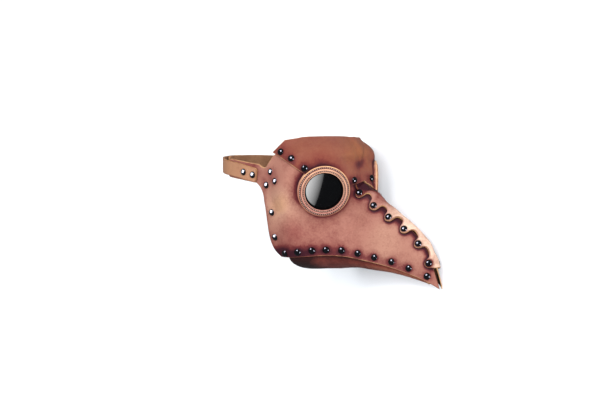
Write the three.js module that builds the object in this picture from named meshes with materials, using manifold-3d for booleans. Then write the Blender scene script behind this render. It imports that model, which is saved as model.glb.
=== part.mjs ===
// Leather plague doctor mask, in millimetres.
// The mask is shaped upright, as worn: X forward along the beak, Y to the wearer's left, Z up,
// with the origin at the bridge of the nose. A turned group then lays it on its left side.
import * as THREE from 'three';
import { ConvexHull } from 'three/addons/math/ConvexHull.js';
import { mergeVertices } from 'three/addons/utils/BufferGeometryUtils.js';
import Module from 'manifold-3d';

const wasm = await Module();
wasm.setup();

const deg = THREE.MathUtils.degToRad;
const clamp = THREE.MathUtils.clamp;
const lerp = THREE.MathUtils.lerp;

const leather = 3;            // thickness of the body leather
const gap = 0.3;              // clearance between pieces that lie on each other
const under = 1.3;            // clearance below a curved sheet that lies on another one
const upper = leather + under; // outer face of such a sheet, above the skin

// Each half of the mask is laid out flat in a plane that faces this far round from straight ahead,
// where every edge of the half can be drawn. A point there is (h, z), and a ray square to the
// plane carries it onto the curved skin.
const layoutTurn = deg(52);
const layoutSin = Math.sin(layoutTurn);
const layoutCos = Math.cos(layoutTurn);

const eye = {
  x: -27.6,
  y: 51.8,
  z: -11,                     // centre of the flat seat of the eye ring
  turn: deg(42),              // how far the seat faces outward
  pitch: deg(6),              // how far the brow above and the cheek below lean
  seatPitch: { right: deg(15), left: deg(2) }, // the leather has set unevenly round the two eyes
  flat: 41,                   // the seat is flat out to this radius
  blend: 58,                  // and has melted into the skin at this one
  hole: 36.2,
};

const face = {
  frontX: 5,                  // flat root of the nose
  browLean: deg(36),
  browZ: 27,
  browFollow: 0.7,
  foreheadLean: deg(38),
  foreheadZ: 22,
  templeY: 87,                // half-width beside the eyes
  templeX: -55,
  templeTaper: 0.16,
  jawTaper: 0.0021,
  crownTaper: 0.0016,
  soft: 17,                   // rounding where two of its planes meet
};

const beak = {
  // side view of the ridge, from inside the face to beyond the open tip
  ridge: [[-34, 20], [0, -2], [28, -21], [58, -38.5], [89.5, -58], [112, -78], [124, -96],
    [131, -115], [136, -132], [140.5, -151]],
  shoulder: [13, 9, 4],       // half-width gained just below the ridge, at root, middle and tip
  shoulderDepth: 8,
  flare: 0.17,                // further half-width for each millimetre below the ridge
  foldRadius: 4,
  soft: 34,                   // fillet between the beak and the face
};

const rivetSize = { radius: 4, height: 2.8, sides: 8 };

// Smooth versions of max and min, with no effect where the values differ by more than k.
function softMax(a, b, k) {
  const t = Math.max(k - Math.abs(a - b), 0) / k;
  return Math.max(a, b) + t * t * k / 4;
}
function softMin(a, b, k) {
  return -softMax(-a, -b, k);
}

const ridgeCurve = new THREE.SplineCurve(beak.ridge.map(([x, z]) => new THREE.Vector2(x, z)));
const ridgeLine = ridgeCurve.getPoints(60);

// Depth below the ridge line in the side view, and how far along the ridge that is, from 0 to 1.
function ridgeDepth(x, z) {
  let best = Infinity;
  let along = 0;
  let sign = 1;
  for (let i = 0; i + 1 < ridgeLine.length; i++) {
    const a = ridgeLine[i];
    const b = ridgeLine[i + 1];
    const dx = b.x - a.x;
    const dz = b.y - a.y;
    const t = clamp(((x - a.x) * dx + (z - a.y) * dz) / (dx * dx + dz * dz), 0, 1);
    const ex = x - a.x - t * dx;
    const ez = z - a.y - t * dz;
    const d = Math.hypot(ex, ez);
    if (d < best) {
      best = d;
      along = (i + t) / (ridgeLine.length - 1);
      sign = dx * ez - dz * ex > 0 ? -1 : 1;
    }
  }
  return { depth: best * sign, along };
}

// Signed distance to a plane through (px, py, pz) that faces outward by turn and up by lean.
function leaningPlane(x, y, z, px, py, pz, turn, lean) {
  const flat = (x - px) * Math.cos(turn) + (y - py) * Math.sin(turn);
  return flat * Math.cos(lean) + (z - pz) * Math.sin(lean);
}

// The skin is where this field is zero; it is positive outside. y is the distance from the middle.
function skinField(x, y, z, side) {
  const cheek = leaningPlane(x, y, z, eye.x, eye.y, eye.z, eye.turn, -eye.pitch);
  // a seat that faces down carries the brow above it further out
  const overhang = face.browFollow * Math.tan(eye.seatPitch[side]) * (face.browZ - eye.z)
    * THREE.MathUtils.smoothstep(y, 6, 30);
  const brow = leaningPlane(x, y, z, eye.x, eye.y, face.browZ, eye.turn, face.browLean)
    - overhang * Math.cos(face.browLean);
  const nose = x - face.frontX;
  const forehead = leaningPlane(x, y, z, face.frontX, 0, face.foreheadZ, 0, face.foreheadLean);
  const low = Math.min(0, z + 10);
  const high = Math.max(0, z - 10);
  const width = face.templeY + face.templeTaper * (x - face.templeX)
    - face.jawTaper * low * low - face.crownTaper * high * high;
  let head = softMax(cheek, brow, face.soft);
  head = softMax(head, softMax(nose, forehead, face.soft), face.soft);
  head = softMax(head, y - width, face.soft);

  const { depth, along } = ridgeDepth(x, z);
  const [root, middle, tip] = beak.shoulder;
  const shoulder = along < 0.5 ? lerp(root, middle, along * 2) : lerp(middle, tip, along * 2 - 1);
  const fall = Math.exp(-depth / beak.shoulderDepth);
  const half = shoulder * (1 - fall) + beak.flare * depth;
  const slope = shoulder / beak.shoulderDepth * Math.min(fall, 1) + beak.flare;
  const folded = Math.hypot(y, beak.foldRadius) - beak.foldRadius;
  const flank = (folded - half) / Math.hypot(1, slope);

  const skin = softMin(head, flank, beak.soft);
  const seat = leaningPlane(x, y, z, eye.x, eye.y, eye.z, eye.turn, -eye.seatPitch[side]);
  const out = Math.hypot(x - eye.x, y - eye.y, z - eye.z);
  const radius = Math.sqrt(Math.max(0, out * out - seat * seat));
  const weight = 1 - THREE.MathUtils.smoothstep(radius, eye.flat, eye.blend);
  return lerp(skin, seat, weight);
}

const handOf = (side) => (side === 'left' ? 1 : -1);

function skinNormal(p, side) {
  const e = 0.05;
  const f = (dx, dy, dz) => skinField(p.x + dx, Math.abs(p.y + dy), p.z + dz, side);
  return new THREE.Vector3(
    f(e, 0, 0) - f(-e, 0, 0),
    f(0, e, 0) - f(0, -e, 0),
    f(0, 0, e) - f(0, 0, -e),
  ).normalize();
}

// First point where a ray from outside meets the skin, walking against its direction.
function castRay(from, inward, reach, side) {
  const at = (t) => from.clone().addScaledVector(inward, t);
  const field = (t) => {
    const p = at(t);
    return skinField(p.x, Math.abs(p.y), p.z, side);
  };
  const step = 3;
  let near = 0;
  while (near < reach && field(near + step) > 0) near += step;
  let far = near + step;
  for (let i = 0; i < 26; i++) {
    const mid = (near + far) / 2;
    if (field(mid) > 0) near = mid;
    else far = mid;
  }
  return at((near + far) / 2);
}

// The skin point of a layout point (h, z) on one side of the mask.
function skinPoint(h, z, side) {
  const hand = handOf(side);
  const out = new THREE.Vector3(layoutCos, hand * layoutSin, 0);
  const flat = new THREE.Vector3(h * layoutSin, -hand * h * layoutCos, z);
  return castRay(flat.addScaledVector(out, 220), out.negate(), 420, side);
}

// Where the middle line of the mask lies in the layout, at height z.
function middleH(z) {
  const p = castRay(new THREE.Vector3(220, 0, z), new THREE.Vector3(-1, 0, 0), 420, 'right');
  return p.x * layoutSin;
}

// A curve through a few layout points, read by its share of the length.
function layoutCurve(points) {
  return new THREE.SplineCurve(points.map(([h, z]) => new THREE.Vector2(h, z)));
}

// A layout patch between four curves: bottom and top run forward, rear and front run upward.
function coons(bottom, top, rear, front, s, t) {
  const b = bottom.getPointAt(s);
  const u = top.getPointAt(s);
  const l = rear.getPointAt(t);
  const r = front.getPointAt(t);
  const b0 = bottom.getPointAt(0);
  const b1 = bottom.getPointAt(1);
  const u0 = top.getPointAt(0);
  const u1 = top.getPointAt(1);
  const blend = (k) => (1 - t) * b[k] + t * u[k] + (1 - s) * l[k] + s * r[k]
    - (1 - s) * (1 - t) * b0[k] - s * (1 - t) * b1[k] - (1 - s) * t * u0[k] - s * t * u1[k];
  return { h: blend('x'), z: blend('y') };
}

// A geometry with its faces turned outward.
function geometryOf(points, faces) {
  let volume = 0;
  for (const [a, b, c] of faces) {
    volume += points[a].dot(new THREE.Vector3().crossVectors(points[b], points[c]));
  }
  const geometry = new THREE.BufferGeometry().setFromPoints(points);
  geometry.setIndex(faces.flatMap(([a, b, c]) => (volume > 0 ? [a, b, c] : [a, c, b])));
  return geometry;
}

// A closed sheet between an outer and an inner grid of points, both given as rows.
function thickSheet(outer, inner) {
  const rows = outer.length;
  const cols = outer[0].length;
  const points = [...outer.flat(), ...inner.flat()];
  const id = (i, j, inside) => i * cols + j + (inside ? rows * cols : 0);
  const faces = [];
  const quad = (a, b, c, d) => faces.push([a, b, c], [a, c, d]);
  for (let i = 0; i + 1 < rows; i++) {
    for (let j = 0; j + 1 < cols; j++) {
      quad(id(i, j), id(i + 1, j), id(i + 1, j + 1), id(i, j + 1));
      quad(id(i, j, 1), id(i, j + 1, 1), id(i + 1, j + 1, 1), id(i + 1, j, 1));
    }
    quad(id(i, 0), id(i, 0, 1), id(i + 1, 0, 1), id(i + 1, 0));
    const e = cols - 1;
    quad(id(i, e), id(i + 1, e), id(i + 1, e, 1), id(i, e, 1));
  }
  for (let j = 0; j + 1 < cols; j++) {
    const e = rows - 1;
    quad(id(0, j), id(0, j + 1), id(0, j + 1, 1), id(0, j, 1));
    quad(id(e, j), id(e, j, 1), id(e, j + 1, 1), id(e, j + 1));
  }
  return geometryOf(points, faces);
}

function toManifold(geometry) {
  const bare = new THREE.BufferGeometry()
    .setAttribute('position', geometry.getAttribute('position'));
  bare.setIndex(geometry.getIndex());
  const merged = mergeVertices(bare, 1e-3);
  return new wasm.Manifold(new wasm.Mesh({
    numProp: 3,
    vertProperties: new Float32Array(merged.getAttribute('position').array),
    triVerts: new Uint32Array(merged.getIndex().array),
  }));
}

const finest = 0.08;           // detail below this size is left out of the joined solids

function fromManifold(solid) {
  const mesh = solid.simplify(finest).getMesh();
  const geometry = new THREE.BufferGeometry();
  geometry.setAttribute('position', new THREE.BufferAttribute(mesh.vertProperties, 3));
  geometry.setIndex(new THREE.BufferAttribute(mesh.triVerts, 1));
  return geometry;
}

// Turns local +Y to the given direction and moves the origin to the point.
function placement(point, direction) {
  const turn = new THREE.Quaternion()
    .setFromUnitVectors(new THREE.Vector3(0, 1, 0), direction.clone().normalize());
  return new THREE.Matrix4().compose(point, turn, new THREE.Vector3(1, 1, 1));
}

function turned(profile, sides) {
  return new THREE.LatheGeometry(profile.map(([r, y]) => new THREE.Vector2(r, y)), sides);
}

// Side panels

const panelEdges = {
  bottom: [[-110, -103], [-100, -103.5], [-77, -101.5], [-50, -100], [-25, -101], [-5, -104.5],
    [23, -110], [45, -116], [68, -124], [85, -131], [103, -141]],
  crown: [[-131, 19], [-119, 37], [-105, 41], [-90, 34], [-78, 21], [-60, 6], [-42, 0], [-28, 2],
    [-18, 8], [-8, 9]],
  rear: [[-110, -103], [-119, -94], [-125.5, -80], [-129.5, -57], [-132, -38], [-134.5, -22],
    [-134, 0], [-131, 19]],
};
const ridgeEdge = { from: 0.17, to: 0.8, steps: 10, away: 4 };
const tipEdge = [96.5, -113];  // where the open front edge of the beak comes out from under the strip

// Skin point beside the ridge: at a share of the ridge line, a little to one side of the middle.
function besideRidge(share, away, side) {
  const p = ridgeCurve.getPointAt(share);
  const t = ridgeCurve.getTangentAt(share);
  const up = new THREE.Vector3(-t.y, 0, t.x);
  const from = new THREE.Vector3(p.x, handOf(side) * away, p.y).addScaledVector(up, 40);
  return castRay(from, up.clone().negate(), 90, side);
}

// The layout place of a point of the skin.
function layoutOf(p) {
  return [p.x * layoutSin - Math.abs(p.y) * layoutCos, p.z];
}

function bodySheet(side) {
  const ridge = [];
  for (let i = 0; i <= ridgeEdge.steps; i++) {
    const share = lerp(ridgeEdge.from, ridgeEdge.to, i / ridgeEdge.steps);
    ridge.push(layoutOf(besideRidge(share, ridgeEdge.away, side)));
  }
  const tipTop = ridge[ridge.length - 1];
  const tipLow = panelEdges.bottom[panelEdges.bottom.length - 1];
  const bottom = layoutCurve(panelEdges.bottom);
  const top = layoutCurve([...panelEdges.crown, ...ridge]);
  const rear = layoutCurve(panelEdges.rear);
  const front = layoutCurve([tipLow, tipEdge, tipTop]);
  const across = 25;
  const up = 7;
  const outer = [];
  const inner = [];
  for (let i = 0; i <= across; i++) {
    const outerRow = [];
    const innerRow = [];
    for (let j = 0; j <= up; j++) {
      const { h, z } = coons(bottom, top, rear, front, i / across, j / up);
      const p = skinPoint(h, z, side);
      outerRow.push(p);
      innerRow.push(p.clone().addScaledVector(skinNormal(p, side), -leather));
    }
    outer.push(outerRow);
    inner.push(innerRow);
  }
  return thickSheet(outer, inner);
}

function eyeCentre(side) {
  return new THREE.Vector3(eye.x, handOf(side) * eye.y, eye.z);
}

function eyeAxis(side) {
  const pitch = eye.seatPitch[side];
  return new THREE.Vector3(
    Math.cos(eye.turn) * Math.cos(pitch),
    handOf(side) * Math.sin(eye.turn) * Math.cos(pitch),
    -Math.sin(pitch),
  );
}

const eyePlacement = (side) => placement(eyeCentre(side), eyeAxis(side));

// The round hole through every sheet at the eye.
function eyeHole(side) {
  const cutter = turned([[0, -14], [eye.hole, -14], [eye.hole, 14], [0, 14]], 28);
  return toManifold(cutter.applyMatrix4(eyePlacement(side)));
}

// The way of the straps in plan, from the temple round to the middle of the back.
const headPath = [[-88, 80.4], [-112, 77.8], [-150, 73], [-185, 60], [-208, 36], [-221, 0]];
const headCurve = new THREE.SplineCurve(headPath.map(([x, y]) => new THREE.Vector2(x, y)));
const strapRise = 0.14;       // the straps climb towards the back by this slope
const strapZ = 5;

// Frame of the band at a share of the way: its point, its outward side and its upper edge.
// Beyond the middle of the back it follows the way of the other side.
function bandFrame(share, side) {
  if (share > 1) return bandFrame(2 - share, side === 'left' ? 'right' : 'left');
  const p = headCurve.getPointAt(share);
  const t = headCurve.getTangentAt(share);
  const hand = handOf(side);
  const along = new THREE.Vector3(t.x, hand * t.y, strapRise * (1 - share)).normalize();
  const climbed = strapRise * headCurve.getLength() * (share - share * share / 2);
  const outward = new THREE.Vector3(t.y, hand * -t.x, 0).normalize();
  const upward = new THREE.Vector3().crossVectors(along, outward).normalize();
  if (upward.z < 0) upward.negate();
  return { point: new THREE.Vector3(p.x, hand * p.y, strapZ + climbed), outward, upward };
}

// A band of leather along that way, between two shares of it. lift(t) is how far its outer
// face stands off the way and halfWidth(t) its half-width, from end to end.
function band(side, from, to, thickness, lift, halfWidth, steps) {
  const outer = [];
  const inner = [];
  for (let i = 0; i <= steps; i++) {
    const t = i / steps;
    const { point, outward, upward } = bandFrame(lerp(from, to, t), side);
    const row = (depth) => [-1, 1].map((edge) => point.clone()
      .addScaledVector(upward, edge * halfWidth(t))
      .addScaledVector(outward, depth));
    outer.push(row(lift(t)));
    inner.push(row(lift(t) - thickness));
  }
  return thickSheet(outer, inner);
}

// Half-width factor of a band whose two ends are rounded over the given shares of its length.
function roundedEnds(t, first, last) {
  const from = first > 0 ? clamp(t / first, 0, 1) : 1;
  const to = last > 0 ? clamp((1 - t) / last, 0, 1) : 1;
  const arc = (k) => 0.55 + 0.45 * Math.sqrt(1 - (1 - k) * (1 - k));
  return arc(from) * arc(to);
}

const tab = { from: 0.03, to: 0.56, half: 12.6, flare: 4 };

function tabSheet(side) {
  const half = (t) => (tab.half + tab.flare * Math.exp(-t * 9)) * roundedEnds(t, 0, 0.06);
  return band(side, tab.from, tab.to, leather, (t) => -2 * Math.max(0, 1 - t * 7), half, 14);
}

const dome = [[0, 0], [rivetSize.radius, 0], [rivetSize.radius * 0.76, rivetSize.height * 0.72],
  [0, rivetSize.height]];

// A rivet cap that stands on the given point of a sheet.
function rivetAt(point, outward, lift) {
  const seat = point.clone().addScaledVector(outward, lift);
  return turned(dome, rivetSize.sides).applyMatrix4(placement(seat, outward));
}

// Layout places of the rivets that hold the root of the tab and close the rear edge.
const rearRivets = [[-124.9, 12.7], [-119, 0.6], [-130.5, -5.6], [-123.1, -42.4], [-118.9, -76.2]];

function sidePanel(side) {
  let solid = toManifold(bodySheet(side)).add(toManifold(tabSheet(side)));
  for (const [h, z] of rearRivets) {
    const p = skinPoint(h, z, side);
    solid = solid.add(toManifold(rivetAt(p, skinNormal(p, side), -0.4)));
  }
  return solid.subtract(eyeHole(side));
}

// Forehead panel

const foreheadEdges = {
  bottom: [[-119.7, 39], [-110.5, 33.3], [-100, 26], [-89, 18.8], [-80, 12.5], [-68, 1], [-54, -5],
    [-38, -6], [-26, -5], [-17, -3.5]],
  top: [[-104.5, 55], [-84, 57.5], [-60, 58.5], [-36, 58]],
  middleLow: -1,
  middleTop: 57,
};

function foreheadHalf(side, drop) {
  const low = [middleH(foreheadEdges.middleLow), foreheadEdges.middleLow - drop];
  const high = [middleH(foreheadEdges.middleTop), foreheadEdges.middleTop];
  const middle = [];
  for (let i = 0; i <= 6; i++) {
    const z = lerp(foreheadEdges.middleLow, foreheadEdges.middleTop, i / 6);
    middle.push([middleH(z), z]);
  }
  const bottom = layoutCurve([...foreheadEdges.bottom.map(([h, z]) => [h, z - drop]), low]);
  const top = layoutCurve([...foreheadEdges.top, high]);
  const [cornerH, cornerZ] = foreheadEdges.bottom[0];
  const rear = layoutCurve([[cornerH, cornerZ - drop], foreheadEdges.top[0]]);
  const front = layoutCurve([low, ...middle.slice(1)]);
  const across = 14;
  const up = 5;
  const rows = [];
  for (let i = 0; i <= across; i++) {
    const row = [];
    for (let j = 0; j <= up; j++) {
      const { h, z } = coons(bottom, top, rear, front, i / across, j / up);
      const p = skinPoint(h, z, side);
      if (i === across) p.y = 0;
      const n = skinNormal(p, side);
      if (i === across) n.setY(0).normalize();
      row.push({ p, n });
    }
    rows.push(row);
  }
  return rows;
}

// The panel, and the room that it takes up with a clearance at its lower edge.
function foreheadPanel() {
  const sheet = (low, high, drop) => {
    const rows = [...foreheadHalf('right', drop), ...foreheadHalf('left', drop).reverse().slice(1)];
    const at = (lift) => rows.map((row) => row.map(({ p, n }) => p.clone().addScaledVector(n, lift)));
    return toManifold(thickSheet(at(high), at(low)));
  };
  const holes = eyeHole('right').add(eyeHole('left'));
  return {
    panel: fromManifold(sheet(under, upper, 0).subtract(holes)),
    room: sheet(under - leather, upper + leather, 0.9),
  };
}

// Layout places of the forehead rivets on one side.
const foreheadRivets = [[-108.4, 39.5], [-95, 31], [-79.5, 20.4], [-15.6, 2.2]];

// Beak ridge strip

const strip = {
  from: 0.172,                // shares of the ridge line where it starts and ends
  to: 0.838,
  lobes: 6,
  firstLobe: 0.206,           // share of the ridge line at the first rivet
  pitch: 0.104,               // share between the first two rivets
  growth: 0.008,              // each further pitch is longer by this
  lobeReach: 21.5,            // how far the lobes and the notches between them reach down a flank
  notchReach: 9,
  rivetReach: 15,
  rootReach: 6,               // the strip is this much wider over the root of the beak
  stations: 38,
};

const lobeShare = (k) => strip.firstLobe + strip.pitch * k + strip.growth * k * (k - 1) / 2;

// Number of the lobe at a share of the ridge line, with fractions between the lobes.
function lobeAt(share) {
  const b = strip.pitch / strip.growth - 0.5;
  const c = (share - strip.firstLobe) * 2 / strip.growth;
  return Math.sqrt(b * b + c) - b;
}

const rootWidening = (share) => strip.rootReach
  * (1 - THREE.MathUtils.smoothstep(share, strip.firstLobe, lobeShare(1)));

// Points down one flank from the ridge, at the given lengths along the skin.
function downFlank(share, lengths, side) {
  const p = ridgeCurve.getPointAt(share);
  const t = ridgeCurve.getTangentAt(share);
  const up = new THREE.Vector3(-t.y, 0, t.x);
  const aside = new THREE.Vector3(0, handOf(side), 0);
  const core = new THREE.Vector3(p.x, 0, p.y).addScaledVector(up, -26);
  const path = [];
  for (let i = 0; i <= 20; i++) {
    const a = deg(i * 6);
    const d = up.clone().multiplyScalar(Math.cos(a)).addScaledVector(aside, Math.sin(a));
    path.push(castRay(core.clone().addScaledVector(d, 90), d.clone().negate(), 90, side));
  }
  return lengths.map((length) => {
    let walked = 0;
    for (let i = 0; i + 1 < path.length; i++) {
      const piece = path[i].distanceTo(path[i + 1]);
      if (walked + piece >= length || i + 2 === path.length) {
        return path[i].clone().lerp(path[i + 1], (length - walked) / piece);
      }
      walked += piece;
    }
    return path[path.length - 1].clone();
  });
}

// How far the strip reaches down a flank at a share of the ridge line.
function stripReach(share) {
  const wave = Math.cos(lobeAt(share) * 2 * Math.PI);
  const rounded = Math.sign(wave) * Math.abs(wave) ** 0.6;
  return lerp(strip.notchReach, strip.lobeReach, (1 + rounded) / 2) + rootWidening(share);
}

// The strip, and the room that it needs above the panels.
function ridgeStrip() {
  const sheet = [];
  for (let i = 0; i <= strip.stations; i++) {
    const share = lerp(strip.from, strip.to, i / strip.stations);
    const reach = stripReach(share);
    const lengths = [reach, Math.min(10, reach * 0.62), Math.min(4.5, reach * 0.3)];
    const right = downFlank(share, lengths, 'right');
    const left = downFlank(share, lengths, 'left').reverse();
    const [crest] = downFlank(share, [0], 'right');
    const row = [...right, crest, ...left];
    const normals = row.map((p, k) => skinNormal(p, k < 3 ? 'right' : 'left'));
    normals[3].setY(0).normalize();
    sheet.push(row.map((p, k) => ({ p, n: normals[k] })));
  }
  const lifted = (lift) => sheet.map((row) => row.map(({ p, n }) => p.clone().addScaledVector(n, lift)));
  return {
    strip: toManifold(thickSheet(lifted(upper), lifted(under))),
    room: toManifold(thickSheet(lifted(upper + leather), lifted(under - 2 * gap))),
  };
}

// Underside gusset

const gusset = {
  from: 0.035,                // shares of the panels' bottom edge where it starts and ends
  to: 0.9,
  overlap: 11,                // how far it runs up inside the panels
  bow: 19.5,                  // how far it hangs below them at the rear
  bowEnd: 4.5,
  stations: 12,
  arc: 8,
};

function gussetSheet() {
  const edge = layoutCurve(panelEdges.bottom);
  const outer = [];
  const inner = [];
  for (let i = 0; i <= gusset.stations; i++) {
    const share = lerp(gusset.from, gusset.to, i / gusset.stations);
    const { x: h, y: z } = edge.getPointAt(share);
    const taper = clamp((share - 0.25) / 0.65, 0, 1);
    const bow = lerp(gusset.bow, gusset.bowEnd, taper);
    const section = [];
    for (const lift of [gusset.overlap, gusset.overlap / 2, 1]) {
      const p = skinPoint(h, z + lift, 'right');
      section.push(p.addScaledVector(skinNormal(p, 'right'), -leather - under));
    }
    const rim = section[2];
    const half = [];
    for (let k = 1; k <= gusset.arc / 2; k++) {
      const a = k / gusset.arc * Math.PI;
      half.push(new THREE.Vector3(rim.x, rim.y * Math.cos(a), rim.z - (bow + 1) * Math.sin(a)));
    }
    const side = [...section, ...half.slice(0, -1)];
    const middle = half[half.length - 1].setY(0);
    const mirrored = side.map((p) => new THREE.Vector3(p.x, -p.y, p.z)).reverse();
    outer.push([...side, middle, ...mirrored]);
  }
  // the inner face: each point moved square to its own cross-section
  outer.forEach((row) => {
    inner.push(row.map((p, k) => {
      const a = row[Math.max(0, k - 1)];
      const b = row[Math.min(row.length - 1, k + 1)];
      const along = b.clone().sub(a).setX(0).normalize();
      const inwards = new THREE.Vector3(0, -along.z, along.y);
      return p.clone().addScaledVector(inwards, leather);
    }));
  });
  return thickSheet(outer, inner);
}

// Layout places of the rivets along the bottom seam.
const seamRivets = [[-105.5, -98], [-88.4, -95.5], [-69, -93], [-50, -92], [-29, -92.4], [-7.3, -96],
  [15, -100.5], [38, -105.5], [61, -113.4], [85.6, -123.5]];

// Eye rings and lenses

const ring = { sight: 26, tier: 32.6, rim: 35.6, flange: 37, lensSeat: 27.4, back: -6.8 };

// Profile of the ring: radius against height above the seat.
function ringProfile() {
  const bore = ring.sight - 0.6;
  return [
    [bore, ring.back], [ring.flange, ring.back], [ring.flange, -4.2], [ring.rim, -4.2],
    [ring.rim, 5], [ring.tier + 0.4, 5], [ring.tier, 8.4], [ring.tier - 1.6, 9.6],
    [ring.sight, 8.4], [ring.sight, 4.2], [ring.lensSeat, 4.2], [ring.lensSeat, 0.6],
    [bore, 0.6], [bore, ring.back],
  ];
}

function lensProfile() {
  const r = ring.lensSeat - gap;
  return [[0, 0.9], [r, 0.9], [r, 3.2], [r * 0.6, 3.8], [0, 3.9]];
}

// Straps

const strap = { from: 0.19, half: 9.9, thickness: 2.4, overlap: 0.1 };
const strapRivets = [0.228, 0.328];   // shares of the way, beside the temple
const backRivets = [0.96, 1.04];      // and where the two straps cross at the back

function strapSheet(side) {
  const onTop = side === 'right' ? strap.thickness + under : 0;
  const lift = (t) => strap.thickness + gap
    + onTop * THREE.MathUtils.smoothstep(lerp(strap.from, 1 + strap.overlap, t), 0.72, 0.88);
  const half = (t) => strap.half * roundedEnds(t, 0.025, 0.03);
  return band(side, strap.from, 1 + strap.overlap, strap.thickness, lift, half, 18);
}

const worn = new THREE.Group();
worn.name = 'mask_as_worn';

function addMesh(name, geometry, look) {
  const mesh = new THREE.Mesh(geometry, new THREE.MeshStandardMaterial(look));
  mesh.name = name;
  worn.add(mesh);
  return mesh;
}

const bodyLook = { color: 0xa8654a, roughness: 0.55, metalness: 0 };
const strapLook = { color: 0xc79a68, roughness: 0.6, metalness: 0 };
const metalLook = { color: 0x8c8c90, roughness: 0.15, metalness: 1 };
const lensLook = { color: 0x08080a, roughness: 0.05, metalness: 0 };

const forehead = foreheadPanel();
const ridge = ridgeStrip();
for (const side of ['right', 'left']) {
  const body = sidePanel(side).subtract(ridge.room);
  addMesh(`side_panel_${side}`, fromManifold(body), bodyLook);
  addMesh(`eye_ring_${side}`, turned(ringProfile(), 20).applyMatrix4(eyePlacement(side)), bodyLook);
  addMesh(`lens_${side}`, turned(lensProfile(), 20).applyMatrix4(eyePlacement(side)), lensLook);
  addMesh(`strap_${side}`, strapSheet(side), strapLook);
}
addMesh('forehead_panel', forehead.panel, bodyLook);
addMesh('beak_ridge_strip', fromManifold(ridge.strip.subtract(forehead.room)), bodyLook);
addMesh('underside_gusset', gussetSheet(), bodyLook);

for (const side of ['right', 'left']) {
  const standing = (name, places, lift) => places.forEach(([h, z], i) => {
    const p = skinPoint(h, z, side);
    addMesh(`${name}_${side}_${i + 1}`, rivetAt(p, skinNormal(p, side), lift), metalLook);
  });
  standing('rivet_forehead', foreheadRivets, upper + 2 * gap);
  standing('rivet_seam', seamRivets, gap);
  for (let i = 0; i < strip.lobes; i++) {
    const share = lobeShare(i);
    const [p] = downFlank(share, [strip.rivetReach + rootWidening(share)], side);
    addMesh(`rivet_ridge_${side}_${i + 1}`, rivetAt(p, skinNormal(p, side), upper + gap), metalLook);
  }
  strapRivets.forEach((share, i) => {
    const { point, outward } = bandFrame(share, side);
    const lift = strap.thickness + 2 * gap;
    addMesh(`rivet_strap_${side}_${i + 1}`, rivetAt(point, outward, lift), metalLook);
  });
}
backRivets.forEach((share, i) => {
  const { point, outward } = bandFrame(share, 'right');
  const lift = 2 * strap.thickness + 2 * gap + under;
  addMesh(`rivet_strap_back_${i + 1}`, rivetAt(point, outward, lift), metalLook);
});

// The loose mask lies on its left side: on the face of its convex hull that faces left and lies
// under its centre of mass.
function restingFace(group) {
  const centre = new THREE.Vector3();
  const corners = [];
  let volume = 0;
  for (const mesh of group.children) {
    const flat = mesh.geometry.index ? mesh.geometry.toNonIndexed() : mesh.geometry;
    const at = flat.getAttribute('position');
    for (let i = 0; i < at.count; i += 3) {
      const [a, b, c] = [0, 1, 2].map((k) => new THREE.Vector3().fromBufferAttribute(at, i + k));
      const part = a.dot(b.clone().cross(c)) / 6;
      volume += part;
      centre.addScaledVector(a.clone().add(b).add(c), part / 4);
      corners.push(a, b, c);
    }
  }
  centre.divideScalar(volume);
  const left = new THREE.Vector3(0, 1, 0);
  let best = null;
  for (const face of new ConvexHull().setFromPoints(corners).faces) {
    const way = face.normal.dot(left);
    if (way < 0.5) continue;
    const foot = centre.clone().addScaledVector(face.normal, -face.distanceToPoint(centre));
    const edges = [];
    let edge = face.edge;
    do {
      edges.push([edge.tail().point, edge.head().point]);
      edge = edge.next;
    } while (edge !== face.edge);
    const inside = edges.every(([a, b]) => b.clone().sub(a).cross(foot.clone().sub(a))
      .dot(face.normal) > 0);
    if (inside && (!best || way > best.way)) best = { way, normal: face.normal.clone() };
  }
  return best;
}

const maskGroup = new THREE.Group();
maskGroup.name = 'plague_doctor_mask';
maskGroup.add(worn);
const resting = restingFace(worn);
worn.quaternion.setFromUnitVectors(resting.normal, new THREE.Vector3(0, 0, -1));
worn.updateMatrixWorld(true);
const bounds = new THREE.Box3().setFromObject(worn, true);
const middle = bounds.getCenter(new THREE.Vector3());
worn.position.set(-middle.x, -middle.y, -bounds.min.z);

export default maskGroup;
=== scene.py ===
import math

import bpy
import numpy as np
from mathutils import Matrix, Vector, noise
from mathutils.geometry import delaunay_2d_cdt


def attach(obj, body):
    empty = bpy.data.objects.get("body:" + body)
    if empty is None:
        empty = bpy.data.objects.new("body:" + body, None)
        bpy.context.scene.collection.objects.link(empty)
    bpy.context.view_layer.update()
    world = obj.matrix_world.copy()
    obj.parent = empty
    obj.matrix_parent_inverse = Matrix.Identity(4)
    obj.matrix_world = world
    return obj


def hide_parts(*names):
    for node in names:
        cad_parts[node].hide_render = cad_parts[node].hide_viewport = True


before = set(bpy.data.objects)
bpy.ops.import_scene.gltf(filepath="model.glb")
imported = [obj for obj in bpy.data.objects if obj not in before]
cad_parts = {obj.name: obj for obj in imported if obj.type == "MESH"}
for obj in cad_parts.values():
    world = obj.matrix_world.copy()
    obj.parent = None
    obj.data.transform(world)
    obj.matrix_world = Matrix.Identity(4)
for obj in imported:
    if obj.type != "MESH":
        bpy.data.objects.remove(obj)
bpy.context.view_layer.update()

# Sizes in millimetres. The mask is shaped upright, as worn: X forward along the beak, Y to its
# own left, Z up, with the origin at the bridge of the nose. Each piece is then laid down with
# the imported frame.
SIDES = ("right", "left")
HAND = {"right": -1, "left": 1}
LEATHER = 3.0
UPPER_LOW = 1.3               # under face of a sheet that lies on another one, above the skin
UPPER = UPPER_LOW + LEATHER

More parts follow.
